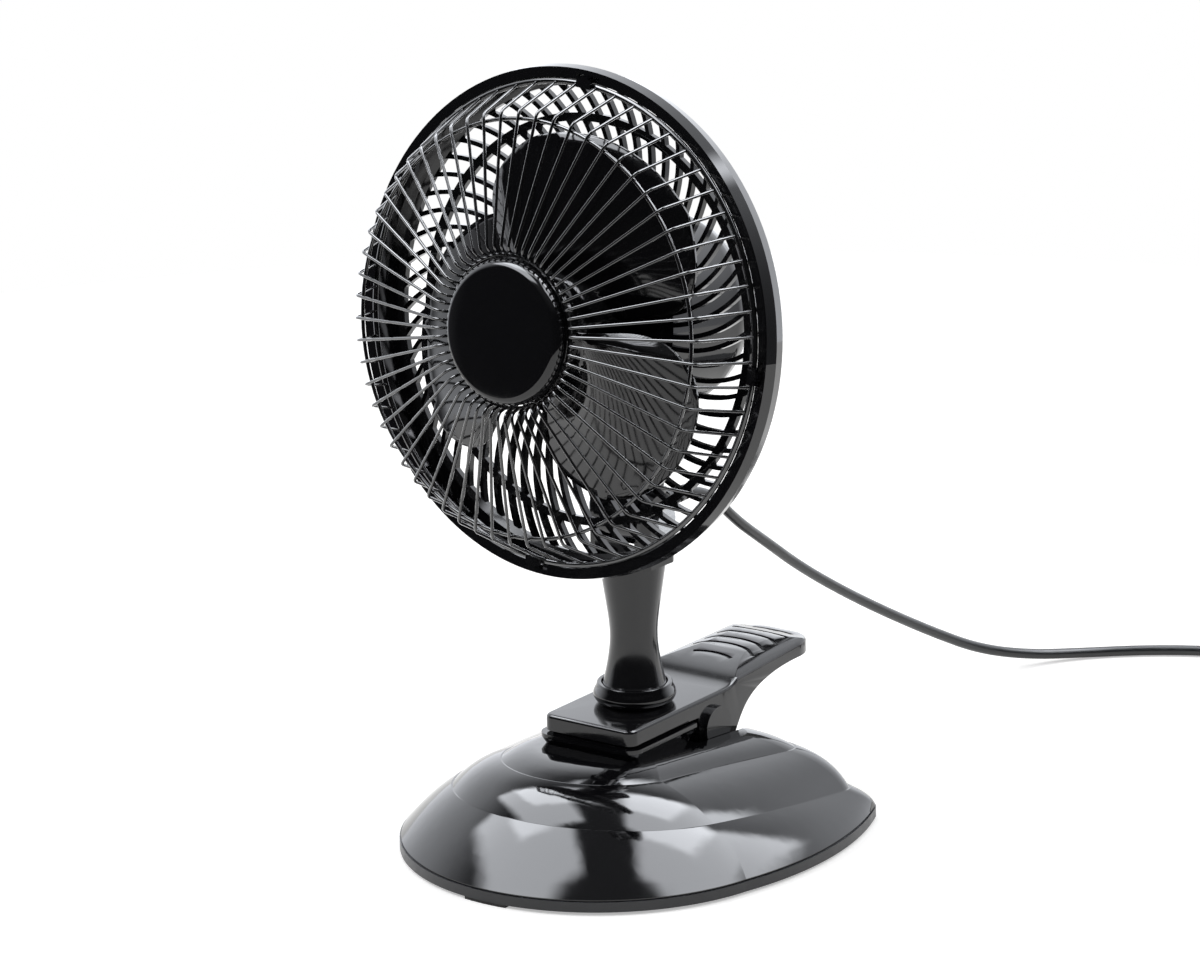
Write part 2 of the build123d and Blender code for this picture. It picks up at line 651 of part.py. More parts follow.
def rear_guard():
    """Ring, lip, clip tabs, spiral ribs and hub plate in one moulding."""
    back = RING_BACK_Y
    outer = RING_RADIUS
    bulge = outer + RING_BULGE
    lip = outer - LIP_WIDTH
    wall = RING_WALL
    inner_edge = outer - INNER_EDGE_INSET
    ring = head_spun([
        (lip, RING_Y), (outer, RING_Y), (bulge, ahead(-5)), (bulge - 1.6, ahead(-10.5)),
        (outer - 4, ahead(-14)),
        (inner_edge, back), (inner_edge, back - RIB_DEPTH), (outer - 5.2, ahead(-12.4)),
        (bulge - 1.4 - wall, ahead(-9.5)), (bulge - wall, ahead(-5)),
        (outer - wall, RING_Y + LIP_THICK + 0.4), (lip, RING_Y + LIP_THICK),
    ])
    path = rib_path(inner_edge + RIB_OVERLAP)
    rib = extrude(trace(path, RIB_WIDTH), RIB_DEPTH)
    rib = Pos(0, back, AXIS_Z) * Rot(X=90) * rib
    ribs = around_fan(rib, RIBS)
    hub = head_spun([
        (0, back - RIB_DEPTH), (HUB_PLATE_RADIUS, back - RIB_DEPTH), (HUB_PLATE_RADIUS, back), (0, back),
    ])
    half_ring = MID_RIB_RING_WIDTH / 2
    mid = head_spun([
        (MID_RIB_RING - half_ring, back - RIB_DEPTH), (MID_RIB_RING + half_ring, back - RIB_DEPTH),
        (MID_RIB_RING + half_ring, back), (MID_RIB_RING - half_ring, back),
    ])
    grille = hub.fuse(mid, *ribs)
    limit = head_spun([(0, back - 5), (inner_edge + 1.5, back - 5), (inner_edge + 1.5, back), (0, back)])
    guard = (grille & limit).fuse(ring)
    bore = head_spun([(0, RING_Y), (BEARING_RADIUS + 0.6, RING_Y), (BEARING_RADIUS + 0.6, 0), (0, 0)])
    guard = (guard - bore).cut(*screw_shanks(SCREW_RADIUS + RUNNING))
    hook_front = ahead(WIRE_RING / 2 + 1.3)
    hook_back = ahead(WIRE_RING / 2 + 0.2)
    half_tab = TAB_WIDTH / 2
    tab_top = AXIS_Z + lip + 1.6
    tab = block((-half_tab, half_tab), (hook_front, hook_back), (AXIS_Z + WIRE_RING_RADIUS - 1, tab_top))
    tab += block((-half_tab, half_tab), (hook_front, RING_Y + LIP_THICK), (AXIS_Z + lip, tab_top))
    guard = guard.fuse(*around_fan(tab.rotate(FAN_AXIS, 180 / WIRES), CLIP_TABS))
    windows = []
    for offset in (-WINDOW_OFFSET, WINDOW_OFFSET):
        centre = Pos(offset, RING_Y, AXIS_Z + (lip + outer - wall) / 2 + 0.6)
        window = centre * Box(WINDOW_WIDTH, 4 * LIP_THICK, outer - wall - lip - 0.8)
        windows += around_fan(window.rotate(FAN_AXIS, 180 / WIRES), CLIP_TABS)
    guard = guard.cut(*windows)
    return HEAD_FRAME * guard


def polygon_ring(radius, y, size, sides):
    """A ring with flat sides and a square section, turned so that a corner lies between two wires."""
    turn = 180 / sides
    outer = RegularPolygon(radius + size / 2, sides, rotation=turn, major_radius=False)
    inner = RegularPolygon(radius - size / 2, sides, rotation=turn, major_radius=False)
    ring = extrude(outer - inner, size)
    return Pos(0, y + size / 2, AXIS_Z) * Rot(X=90) * ring


def front_guard():
    """Sixty bent wires on four wire rings."""
    slope = (KINK_AHEAD - MID_RING_AHEAD - WIRE) / (MID_RING_RADIUS - KINK_RADIUS)
    outer = WIRE_RING_RADIUS
    shoulder = outer - 7.3
    shoulder_ahead = KINK_AHEAD - slope * (shoulder - KINK_RADIUS)
    points = [
        (HUB_RING_RADIUS, ahead(KINK_AHEAD - 3.6)),
        (KINK_RADIUS, ahead(KINK_AHEAD)),
        (shoulder, ahead(shoulder_ahead)),
        (outer - 3.6, ahead(shoulder_ahead - 2.2)),
        (outer - 1.1, ahead(shoulder_ahead - 5.4)),
        (outer, ahead(shoulder_ahead - 9.5)),
        (outer, RING_Y),
    ]
    path = Polyline(*[(r, y, AXIS_Z) for r, y in points])
    section = Plane(path @ 0, z_dir=path % 0) * Rectangle(WIRE, WIRE)
    wire = sweep(section, path, transition=Transition.RIGHT)
    wires = around_fan(wire, WIRES)
    rings = [
        polygon_ring(HUB_RING_RADIUS, ahead(KINK_AHEAD - 3.6), 1.6, WIRES),
        polygon_ring(MID_RING_RADIUS, ahead(MID_RING_AHEAD), WIRE, WIRES),
        polygon_ring(WIRE_RING_RADIUS, RING_Y, WIRE_RING, WIRES),
    ]
    return HEAD_FRAME * rings[0].fuse(*rings[1:], *wires)


def hub_cap():
    """The glossy cup that closes the wires' centre."""
    face = CAP_RADIUS - 1.4
    front = CAP_AHEAD + 1.0
    cap = head_spun([
        (0, ahead(front + 0.8)), (face / 2, ahead(front + 0.6)), (face, ahead(front)),
        (CAP_RADIUS, ahead(CAP_AHEAD)),
        (CAP_RADIUS + 0.3, ahead(CAP_AHEAD - 3.8)), (CAP_RADIUS - 1.5, ahead(CAP_AHEAD - 3.8)),
        (face - 1.2, ahead(front - 2.0)), (0, ahead(front - 1.4)),
    ])
    return HEAD_FRAME * cap


# ---------------------------------------------------------------- motor housing
def housing_front():
    """The front cup that carries the rear guard and the motor."""
    front = RING_BACK_Y
    wall = HOUSING_WALL
    cup = head_spun([
        (BEARING_RADIUS + 0.6, front), (HOUSING_RADIUS - 2, front), (HOUSING_RADIUS, front + 3),
        (HOUSING_RADIUS, HOUSING_SPLIT_Y), (HOUSING_RADIUS - wall, HOUSING_SPLIT_Y),
        (HOUSING_RADIUS - wall, front + wall + 2), (HOUSING_RADIUS - wall - 2, front + wall),
        (BEARING_RADIUS + 0.6, front + wall),
    ])
    return HEAD_FRAME * cup.cut(*screw_shanks(SCREW_RADIUS + RUNNING))


def housing_rear():
    """The rear shell: rounded back with vents, stalk and tilt knuckle."""
    wall = HOUSING_WALL
    front = HOUSING_SPLIT_Y + 0.2
    back = HOUSING_BACK_Y
    shell = head_spun([
        (0, front), (HOUSING_RADIUS, front), (HOUSING_RADIUS, back - 16), (HOUSING_RADIUS - 1.6, back - 10),
        (HOUSING_RADIUS - 6, back - 4.5), (HOUSING_RADIUS - 13, back - 1.2),
        (HOUSING_RADIUS - 20, back), (0, back),
    ])
    stalk_top = AXIS_Z - HOUSING_RADIUS + 10
    stalk_foot = Rectangle(2 * KNUCKLE_HALF_WIDTH, 2 * KNUCKLE_RADIUS - 5)
    stalk = loft([
        Plane((0, -4, stalk_top)) * fillet(Rectangle(2 * STALK_HALF_WIDTH, STALK_DEPTH).vertices(), 7),
        Plane((0, -2, 24)) * fillet(Rectangle(2 * STALK_HALF_WIDTH - 5, STALK_DEPTH - 4).vertices(), 6),
        Plane((0, 0, 10.5)) * fillet(stalk_foot.vertices(), 3),
    ])
    neck_y = (3 - KNUCKLE_RADIUS, KNUCKLE_RADIUS - 3)
    neck = block((-KNUCKLE_HALF_WIDTH, KNUCKLE_HALF_WIDTH), neck_y, (0, 10.5))
    knuckle = rod_x(KNUCKLE_RADIUS, -KNUCKLE_HALF_WIDTH, KNUCKLE_HALF_WIDTH)
    hollow = head_spun([
        (0, front), (HOUSING_RADIUS - wall, front), (HOUSING_RADIUS - wall, back - 16.5),
        (HOUSING_RADIUS - 3.8, back - 11), (HOUSING_RADIUS - 8, back - 6.5),
        (HOUSING_RADIUS - 14, back - 3.4),
        (HOUSING_RADIUS - 20, back - wall), (0, back - wall),
    ])
    body = shell + stalk + neck + knuckle - hollow
    slot = Pos(0, back - 3, AXIS_Z + 21) * Box(2.4, 12, 11)
    body = body.cut(*around_fan(slot, VENTS))
    body -= rod_x(TILT_BOLT_RADIUS + RUNNING, -20, 20)
    body -= Pos(0, back, AXIS_Z) * Rot(X=90) * Cylinder(SWITCH_STEM + RUNNING, 20)
    relief_way = Rot(X=REST_TILT) * Pos(0, RELIEF_START - 4, 0) * Rot(X=-90)
    body -= relief_way * Cylinder(RELIEF_RADIUS - 1, 30, align=(Align.CENTER, Align.CENTER, Align.MIN))
    return HEAD_FRAME * body


def screw_shanks(radius):
    """Three rods from the hub plate's face into the motor's front bracket."""
    place = Pos(0, RING_BACK_Y - RIB_DEPTH, AXIS_Z + HOUSING_SCREW_RING) * Rot(X=-90)
    rod = place * Cylinder(radius, HOUSING_SCREW_LENGTH, align=(Align.CENTER, Align.CENTER, Align.MIN))
    return around_fan(rod, HOUSING_SCREWS)


def housing_screws():
    """Three screws from the hub plate through the front cup."""
    place = Pos(0, RING_BACK_Y - RIB_DEPTH, AXIS_Z + HOUSING_SCREW_RING) * Rot(X=-90)
    head = place * Cylinder(3.0, 1.6, align=(Align.CENTER, Align.CENTER, Align.MAX))
    heads = around_fan(head, HOUSING_SCREWS)
    screws = [shank + top for shank, top in zip(screw_shanks(SCREW_RADIUS), heads)]
    return HEAD_FRAME * Compound(children=screws)


# ---------------------------------------------------------------- motor
def stator():
    """The laminated ring."""
    inside = ROTOR_RADIUS + AIR_GAP
    return HEAD_FRAME * head_spun([
        (inside, STACK_FRONT_Y), (STATOR_RADIUS, STACK_FRONT_Y), (STATOR_RADIUS, STACK_BACK_Y),
        (inside, STACK_BACK_Y),
    ])


def stator_coils():
    """The copper heads at both ends of the stack."""
    inside = ROTOR_RADIUS + AIR_GAP + 1.5
    outside = STATOR_RADIUS - BRACKET_WALL - 0.8
    heads = []
    for face, way in ((STACK_FRONT_Y, -1), (STACK_BACK_Y, 1)):
        far = face + way * COIL_HEAD
        heads.append(head_spun([(inside, face), (outside, face), (outside - 1, far), (inside + 1, far)]))
    return HEAD_FRAME * Compound(children=heads)


def motor_bracket(front):
    """An end cup that carries one bearing and stands on the stack."""
    way = -1 if front else 1
    face = STACK_FRONT_Y if front else STACK_BACK_Y
    far = RING_BACK_Y + HOUSING_WALL if front else STACK_BACK_Y + COIL_HEAD + 3.4
    wall = BRACKET_WALL
    cup = head_spun([
        (STATOR_RADIUS - wall, face), (STATOR_RADIUS, face), (STATOR_RADIUS, far), (BEARING_RADIUS, far),
        (BEARING_RADIUS, far - way * BEARING_LENGTH), (BEARING_RADIUS + wall, far - way * BEARING_LENGTH),
        (BEARING_RADIUS + wall, far - way * wall), (STATOR_RADIUS - wall, far - way * wall),
    ])
    if front:
        cup = cup.cut(*screw_shanks(SCREW_RADIUS + RUNNING))
    return HEAD_FRAME * cup


def bearings():
    """The two plain bearings."""
    rings = []
    for far, way in ((RING_BACK_Y + HOUSING_WALL, 1), (STACK_BACK_Y + COIL_HEAD + 3.4, -1)):
        near = far + way * BEARING_LENGTH
        rings.append(head_spun([
            (SHAFT_RADIUS + RUNNING, far), (BEARING_RADIUS, far), (BEARING_RADIUS, near),
            (SHAFT_RADIUS + RUNNING, near),
        ]))
    return HEAD_FRAME * Compound(children=rings)


def rotor():
    """The squirrel-cage rotor on the shaft."""
    ring = head_spun([
        (SHAFT_RADIUS, STACK_FRONT_Y), (ROTOR_RADIUS, STACK_FRONT_Y), (ROTOR_RADIUS, STACK_BACK_Y),
        (SHAFT_RADIUS, STACK_BACK_Y),
    ])
    return HEAD_FRAME * ring


def motor_shaft():
    """The steel shaft from the rear bearing to the fan's hub."""
    back = STACK_BACK_Y + COIL_HEAD + 4.4
    return HEAD_FRAME * head_spun([
        (0, ahead(HUB_FRONT - 6)), (SHAFT_RADIUS, ahead(HUB_FRONT - 6)), (SHAFT_RADIUS, back), (0, back),
    ])


# ---------------------------------------------------------------- fan
def fan_blades():
    """Hub and three broad helical blades in one moulding."""
    thick_angle = BLADE_THICK / BLADE_RISE * BLADE_SPAN
    span = BLADE_SPAN - thick_angle
    rise = BLADE_RISE - BLADE_THICK
    inner = HUB_RADIUS - 1.5
    wedge = make_face(Polyline(
        (inner, 0), (BLADE_TIP, 0), polar(BLADE_TIP, thick_angle), polar(inner, thick_angle), close=True,
    ))
    slab = Solid.extrude_linear_with_rotation(wedge.face(), (0, 0, 0), (0, 0, rise), span)
    blade = Pos(0, ahead(BLADE_FRONT - BLADE_RISE) - BLADE_THICK, AXIS_Z) * Rot(X=90) * slab
    outline = Curve() + [
        Spline(*[polar(*point) for point in BLADE_BACK_EDGE]),
        ThreePointArc(*[polar(*point) for point in BLADE_TIP_ARC]),
        Spline(*[polar(*point) for point in BLADE_FRONT_EDGE]),
        Line(polar(*BLADE_FRONT_EDGE[-1]), polar(*BLADE_BACK_EDGE[0])),
    ]
    form = extrude(make_face(outline), 2 * BLADE_RISE, both=True)
    blade = blade & Pos(0, RING_Y, AXIS_Z) * Rot(X=90) * form
    hub = head_spun([
        (0, ahead(HUB_FRONT)), (HUB_RADIUS * 0.55, ahead(HUB_FRONT - 1)),
        (HUB_RADIUS * 0.9, ahead(HUB_FRONT - 4)),
        (HUB_RADIUS, ahead(HUB_FRONT - 8)), (HUB_RADIUS, ahead(HUB_BACK)), (HUB_RADIUS - 2, ahead(HUB_BACK)),
        (HUB_RADIUS - 2, ahead(HUB_FRONT - 9)), (SHAFT_RADIUS + 3, ahead(HUB_FRONT - 7)),
        (SHAFT_RADIUS + 3, ahead(HUB_BACK)), (0, ahead(HUB_BACK)),
    ])
    fan = hub.fuse(*around_fan(blade.rotate(FAN_AXIS, BLADE_REST_TURN), BLADES))
    seat = ahead(HUB_FRONT - 6)
    fan -= head_spun([(0, seat), (SHAFT_RADIUS, seat), (SHAFT_RADIUS, 0), (0, 0)])
    return HEAD_FRAME * fan


# ---------------------------------------------------------------- switch
def switch_body():
    """The rotary switch behind the rear wall."""
    back = HOUSING_BACK_Y - HOUSING_WALL
    half = SWITCH_BODY / 2
    body = block((-half, half), (back - SWITCH_DEPTH, back), (AXIS_Z - half, AXIS_Z + half))
    stem_way = Pos(0, back, AXIS_Z) * Rot(X=90) * Cylinder(SWITCH_STEM + RUNNING, 3 * SWITCH_DEPTH)
    return HEAD_FRAME * (body - stem_way)


def switch_knob():
    """The knob with its grip bar and its stem."""
    seat = HOUSING_BACK_Y + 0.3
    knob = head_spun([
        (0, seat), (KNOB_RADIUS, seat), (KNOB_RADIUS - 0.6, seat + KNOB_HEIGHT * 0.45),
        (KNOB_RADIUS - 1.2, seat + KNOB_HEIGHT * 0.5), (0, seat + KNOB_HEIGHT * 0.5),
    ])
    bar = Pos(0, seat + KNOB_HEIGHT / 2, AXIS_Z) * Box(3.4, KNOB_HEIGHT, 2 * KNOB_RADIUS - 2.6)
    stem_end = HOUSING_BACK_Y - HOUSING_WALL - SWITCH_DEPTH
    stem = head_spun([(0, stem_end), (SWITCH_STEM, stem_end), (SWITCH_STEM, seat), (0, seat)])
    return HEAD_FRAME * (knob + bar + stem)


# ---------------------------------------------------------------- cord
CORD_ROUTE = (
    (1.6, 30.6, 122.0),
    (2.2, 45.0, 119.6),
    (2.0, 62.0, 104.6),
    (1.0, 84.0, 90.4),
    (0.0, 108.0, 74.0),
    (0.4, 135.0, 57.0),
    (2.0, 162.0, 40.9),
    (5.0, 190.0, 24.5),
    (10.5, 215.0, 11.4),
    (19.5, 238.0, 4.2),
    (33.0, 257.0, 2.2),
    (51.0, 272.5, 2.2),
    (72.0, 285.0, 2.2),
    (92.0, 290.9, 2.2),
    (107.1, 291.0, 2.2),
)


def strain_relief():
    """The tapered rubber sleeve that leads the cord out of the knuckle."""
    sleeve = Cone(RELIEF_RADIUS, CORD_RADIUS + 0.5, RELIEF_END - RELIEF_START,
                  align=(Align.CENTER, Align.CENTER, Align.MIN))
    root = Pos(0, 0, -4) * Cylinder(RELIEF_RADIUS - 1, 4, align=(Align.CENTER, Align.CENTER, Align.MIN))
    return PAN_FRAME * Pos(0, RELIEF_START, TILT_PIVOT_Z) * Rot(X=-90) * (sleeve + root)


def route_radii(points):
    """The largest arc that each corner's two runs allow."""
    radii = []
    for a, b, c in zip(points, points[1:], points[2:]):
        first = Vector(*b) - Vector(*a)
        second = Vector(*c) - Vector(*b)
        turn = math.radians(first.get_angle(second))
        shorter = min(first.length, second.length)
        radii.append(0.45 * shorter / math.tan(turn / 2))
    return radii


def power_cord():
    """The free cord from the strain relief to the coil."""
    radii = route_radii(CORD_ROUTE)
    print("cord radii", [round(r, 1) for r in radii])
    path = FilletPolyline(*CORD_ROUTE, radius=radii)
    section = Plane(path @ 0, z_dir=path % 0) * Circle(CORD_RADIUS)
    tube = sweep(section, path)
    expected = math.pi * CORD_RADIUS**2 * path.length
    print("cord length", round(path.length), "volume ratio", round(tube.volume / expected, 4))
    return tube


def cord_coil():
    """The coiled rest of the cord on the table."""
    outside = COIL_MID_RADIUS + COIL_HALF_WIDTH
    inside = COIL_MID_RADIUS - COIL_HALF_WIDTH
    return Pos(*COIL_CENTRE, 0) * (disc(outside, 0, COIL_HEIGHT) - disc(inside, -1, COIL_HEIGHT + 1))


def plug_place():
    """Where the plug lies: its cord leaves the coil along a tangent."""
    return Pos(COIL_CENTRE[0] + COIL_MID_RADIUS, COIL_CENTRE[1] - 21.5, 0) * Rot(Z=180)


def plug_body():
    """A flat two-pin plug with its tapered relief, lying on the table."""
    half = PLUG_WIDTH / 2
    body = fillet(Rectangle(PLUG_WIDTH, PLUG_LENGTH).vertices(), 9)
    body = Pos(0, PLUG_RELIEF + PLUG_LENGTH / 2, 0) * extrude(body, PLUG_THICK)
    cone = Cone(
        CORD_RADIUS + 0.8, CORD_RADIUS + 3, PLUG_RELIEF + half / 2,
        align=(Align.CENTER, Align.CENTER, Align.MIN),
    )
    relief = Pos(0, 0, PLUG_AXIS_Z) * Rot(X=-90) * cone
    return plug_place() * (body + relief)


def plug_pins():
    """The two round pins."""
    pin = Rot(X=-90) * disc(PLUG_PIN_RADIUS, 0, PLUG_PIN_LENGTH)
    front = PLUG_RELIEF + PLUG_LENGTH
    pins = []
    for side in (-1, 1):
        pins.append(Pos(side * PLUG_PIN_SPACING / 2, front, PLUG_AXIS_Z) * pin)
    return plug_place() * Compound(children=pins)


PARTS = {
    "base_shell": base_shell,
    "base_cover": base_cover,
    "base_feet": base_feet,
    "ballast_plate": ballast_plate,
    "cover_screws": cover_screws,
    "lower_jaw_pad": lower_jaw_pad,
    "pivot_pin": pivot_pin,
    "clip_spring": clip_spring,
    "clip_arm": clip_arm,
    "upper_jaw_pad": upper_jaw_pad,
    "neck_collar": neck_collar,
    "neck_front": lambda: neck_half(True),
    "neck_rear": lambda: neck_half(False),
    "swivel_screw": swivel_screw,
    "swivel_washer": swivel_washer,
    "tilt_bolt": tilt_bolt,
    "tilt_nut": tilt_nut,
    "rear_guard": rear_guard,
    "front_guard": front_guard,
    "hub_cap": hub_cap,
    "housing_front": housing_front,
    "housing_rear": housing_rear,
    "housing_screws": housing_screws,
    "stator": stator,
    "stator_coils": stator_coils,
    "motor_bracket_front": lambda: motor_bracket(True),
    "motor_bracket_rear": lambda: motor_bracket(False),
    "bearings": bearings,
    "rotor": rotor,
    "motor_shaft": motor_shaft,
    "fan_blades": fan_blades,
    "switch_body": switch_body,
    "switch_knob": switch_knob,
    "strain_relief": strain_relief,
    "power_cord": power_cord,
    "cord_coil": cord_coil,
    "plug_body": plug_body,
    "plug_pins": plug_pins,
}

os.makedirs("parts", exist_ok=True)
for name, make in PARTS.items():
    save(make(), name)
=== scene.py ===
# %% [markdown]
# # A clip fan, dressed in Blender
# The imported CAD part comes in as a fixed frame. Every node already stands where it belongs, so
# this script gives each one its finish, and swaps those that need a rounder or a truer shape: the
# bent wires, the blades, the rear housing, the clip's arm, the hub's cap, the collar, the spring,
# the sleeve at the knuckle, the cord and its plug.

# %% Frame
import json
import math

import bmesh
import bpy
from mathutils import Matrix, Vector


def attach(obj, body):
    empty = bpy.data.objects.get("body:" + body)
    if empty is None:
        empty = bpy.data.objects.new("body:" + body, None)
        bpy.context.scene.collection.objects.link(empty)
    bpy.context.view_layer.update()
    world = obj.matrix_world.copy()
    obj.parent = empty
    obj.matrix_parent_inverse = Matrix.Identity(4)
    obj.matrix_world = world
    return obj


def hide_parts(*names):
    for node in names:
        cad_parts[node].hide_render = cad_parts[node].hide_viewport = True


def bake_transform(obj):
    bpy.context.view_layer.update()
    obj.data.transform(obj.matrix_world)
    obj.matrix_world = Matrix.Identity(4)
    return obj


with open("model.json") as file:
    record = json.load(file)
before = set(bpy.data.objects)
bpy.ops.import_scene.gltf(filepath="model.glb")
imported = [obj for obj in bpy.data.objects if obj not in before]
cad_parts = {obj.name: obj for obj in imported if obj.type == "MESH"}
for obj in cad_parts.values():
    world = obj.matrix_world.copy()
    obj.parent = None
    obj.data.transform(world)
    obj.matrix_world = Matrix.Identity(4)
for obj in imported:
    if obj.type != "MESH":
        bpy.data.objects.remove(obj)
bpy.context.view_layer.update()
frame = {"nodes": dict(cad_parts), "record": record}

MM = 0.001

# %% [markdown]
# ## Camera
# A product picture is taken with a long lens from a little above. The camera looks at a point
# above the base's middle. Its azimuth is counted from the front, and the small shift centres
# the object as the picture does.

# %% Camera
AZIMUTH = math.radians(35.992)
ELEVATION = math.radians(17.101)
ROLL = math.radians(-1.0745)
DISTANCE = 2.776
LOOK_AT = Vector((0, 0, 0.15))
ASIDE = 0.011003
ABOVE = 0.014880
LENS_MM = 229.65
SENSOR_MM = 36

right = Vector((math.cos(AZIMUTH), math.sin(AZIMUTH), 0))
forward = Vector((
    -math.sin(AZIMUTH) * math.cos(ELEVATION),
    math.cos(AZIMUTH) * math.cos(ELEVATION),
    -math.sin(ELEVATION),
))
up = right.cross(forward)
rolled_right = right * math.cos(ROLL) + up * math.sin(ROLL)
rolled_up = up * math.cos(ROLL) - right * math.sin(ROLL)

camera = bpy.data.objects.new("camera", bpy.data.cameras.new("camera"))
camera.data.lens = LENS_MM
camera.data.sensor_width = SENSOR_MM
camera.data.sensor_fit = "HORIZONTAL"
stand = Matrix((rolled_right, rolled_up, -forward)).transposed().to_4x4()
stand.translation = LOOK_AT - rolled_right * ASIDE - rolled_up * ABOVE - forward * DISTANCE
camera.matrix_world = stand
bpy.context.scene.collection.objects.link(camera)
bpy.context.scene.camera = camera
print("camera stands at", [round(v, 3) for v in stand.translation])

# %% [markdown]
# ## Cord
# The lead is a thin PVC flex, 4 mm thick. It leaves the tilt knuckle straight back, sags to the
# table and runs on to where its spare length is stored: a neat coil, 46 mm across at the middle
# of its turns. One open NURBS spline carries the whole length, so no bend is ever a corner. Its
# order is set after its points, because the points decide how high an order can be.

# %% Cord's line
CORD_THICK = 4 * MM
EXIT = (1.6, 30.6, 122.0)
ROUTE = [
    EXIT,
    (2.2, 45.0, 119.6),
    (2.0, 62.0, 103.6),
    (0.6, 84.0, 88.9),
    (-0.6, 108.0, 72.4),
    (0.0, 135.0, 55.6),
    (2.0, 162.0, 39.9),
    (5.0, 190.0, 24.5),
    (10.5, 215.0, 11.4),
    (19.5, 238.0, 4.2),
    (33.0, 257.0, 2.2),
    (51.0, 272.5, 2.2),
    (72.0, 285.0, 2.2),
    (92.0, 291.4, 2.1),
    (106.0, 293.8, 2.1),
]
COIL_CENTRE = (128.0, 268.0)
TURN_POINTS = 14
ROWS = {"outer": 27.1, "middle": 23.0, "inner": 18.9}
LAYERS = (2.1, 6.1, 10.1)
WINDING = [
    ("outer", 0), ("middle", 0), ("inner", 0), ("inner", 1), ("middle", 1),
    ("inner", 2), ("middle", 2),
]
# The last points of each turn lead over to the next row. The cord climbs first and slides after.
STEP_POINTS = 3
HASTE = 1.6
DELAY = 0.6
# A quadratic spline runs inside its control points, so they stand this much further out.
OUTWARDS = 1 / (0.75 + 0.25 * math.cos(2 * math.pi / TURN_POINTS))


def coil_points():
    """Control points of the stored turns, clockwise from the coil's far side."""
    points = []
    total = len(WINDING) * TURN_POINTS + TURN_POINTS // 4
    for i in range(total + 1):
        row, layer = WINDING[min(i // TURN_POINTS, len(WINDING) - 1)]
        after, above = WINDING[min(i // TURN_POINTS + 1, len(WINDING) - 1)]
        share = max(0.0, (i % TURN_POINTS - TURN_POINTS + STEP_POINTS) / STEP_POINTS)
        lift = min(1.0, HASTE * share)
        slide = max(0.0, HASTE * share - DELAY) if above > layer else share
        radius = (ROWS[row] + (ROWS[after] - ROWS[row]) * slide) * OUTWARDS
        height = LAYERS[layer] + (LAYERS[above] - LAYERS[layer]) * lift
        angle = math.pi / 2 - 2 * math.pi * i / TURN_POINTS
        points.append((
            COIL_CENTRE[0] + radius * math.cos(angle),
            COIL_CENTRE[1] + radius * math.sin(angle),
            height,
        ))
    return points


PLUG_AXIS_Z = 6.85
PLUG_START = (COIL_CENTRE[0] + ROWS["middle"], COIL_CENTRE[1] - 21.5, PLUG_AXIS_Z)
lead_points = ROUTE + coil_points() + [
    (PLUG_START[0], PLUG_START[1] + 7, PLUG_AXIS_Z + 0.6),
    (PLUG_START[0], PLUG_START[1] + 1, PLUG_AXIS_Z),
    (PLUG_START[0], PLUG_START[1] - 6, PLUG_AXIS_Z),
]
curve = bpy.data.curves.new("power_lead", "CURVE")
curve.dimensions = "3D"
spline = curve.splines.new("NURBS")
spline.points.add(len(lead_points) - 1)
for point, (x, y, z) in zip(spline.points, lead_points):
    point.co = (x * MM, y * MM, z * MM, 1)
spline.order_u = 3
spline.use_endpoint_u = True
spline.resolution_u = 6
curve.bevel_depth = CORD_THICK / 2
curve.bevel_resolution = 4
curve.use_fill_caps = True
lead = bpy.data.objects.new("power_lead", curve)
bpy.context.scene.collection.objects.link(lead)
print("cord's length", round(spline.calc_length(), 3), "m, control points", len(lead_points))

# %% [markdown]
# ## Helpers for finishes
# Colours are written as they look on a screen, and the renderer wants them linear. Every finish
# is a Principled shader whose pattern nodes hang on one small function.

# %% Colour and node helpers
def colour(hex_code):
    """An sRGB hex colour as linear red, green, blue and alpha."""
    parts = [int(hex_code[i:i + 2], 16) / 255 for i in (1, 3, 5)]
    return [p / 12.92 if p <= 0.04045 else ((p + 0.055) / 1.055) ** 2.4 for p in parts] + [1.0]


def add_node(tree, kind, inputs=None, **settings):
    """Adds one node: its settings, its sockets' values, and links where a value is a socket."""
    made = tree.nodes.new(kind)
    for key, value in settings.items():
        setattr(made, key, value)
    for key, value in (inputs or {}).items():
        if isinstance(value, bpy.types.NodeSocket):
            tree.links.new(value, made.inputs[key])
        else:
            made.inputs[key].default_value = value
    return made


def new_finish(name, hex_code, roughness, **sockets):
    """A material with its Principled shader; sockets are values that are the same all over."""
    material = bpy.data.materials.new(name)
    material.use_nodes = True
    shader = material.node_tree.nodes["Principled BSDF"]
    shader.inputs["Base Color"].default_value = colour(hex_code)
    shader.inputs["Roughness"].default_value = roughness
    for key, value in sockets.items():
        shader.inputs[key.replace("_", " ")].default_value = value
    print("finish", name, hex_code, "roughness", roughness)
    return material


# %% [markdown]
# ## Helpers for how a surface varies
# No moulded or plated surface is even. Its gloss drifts in broad patches, and its skin rises
# and falls by a few thousandths of a millimetre. Both are noise on the piece's own coordinates,
# whose patches are given in millimetres.

# %% Gloss that drifts
def uneven_gloss(finish, patch_mm, low, high):
    """Lets the roughness drift between two values, in patches this many millimetres across."""
    tree = finish.node_tree
    where = add_node(tree, "ShaderNodeTexCoord")
    patches = add_node(tree, "ShaderNodeTexNoise", {
        "Vector": where.outputs["Object"], "Scale": 1 / (patch_mm * MM), "Detail": 2.0,
    })
    drift = add_node(tree, "ShaderNodeMapRange", {
        "Value": patches.outputs["Fac"], "From Min": 0.3, "From Max": 0.7,
        "To Min": low, "To Max": high,
    })
    tree.links.new(drift.outputs["Result"], tree.nodes["Principled BSDF"].inputs["Roughness"])


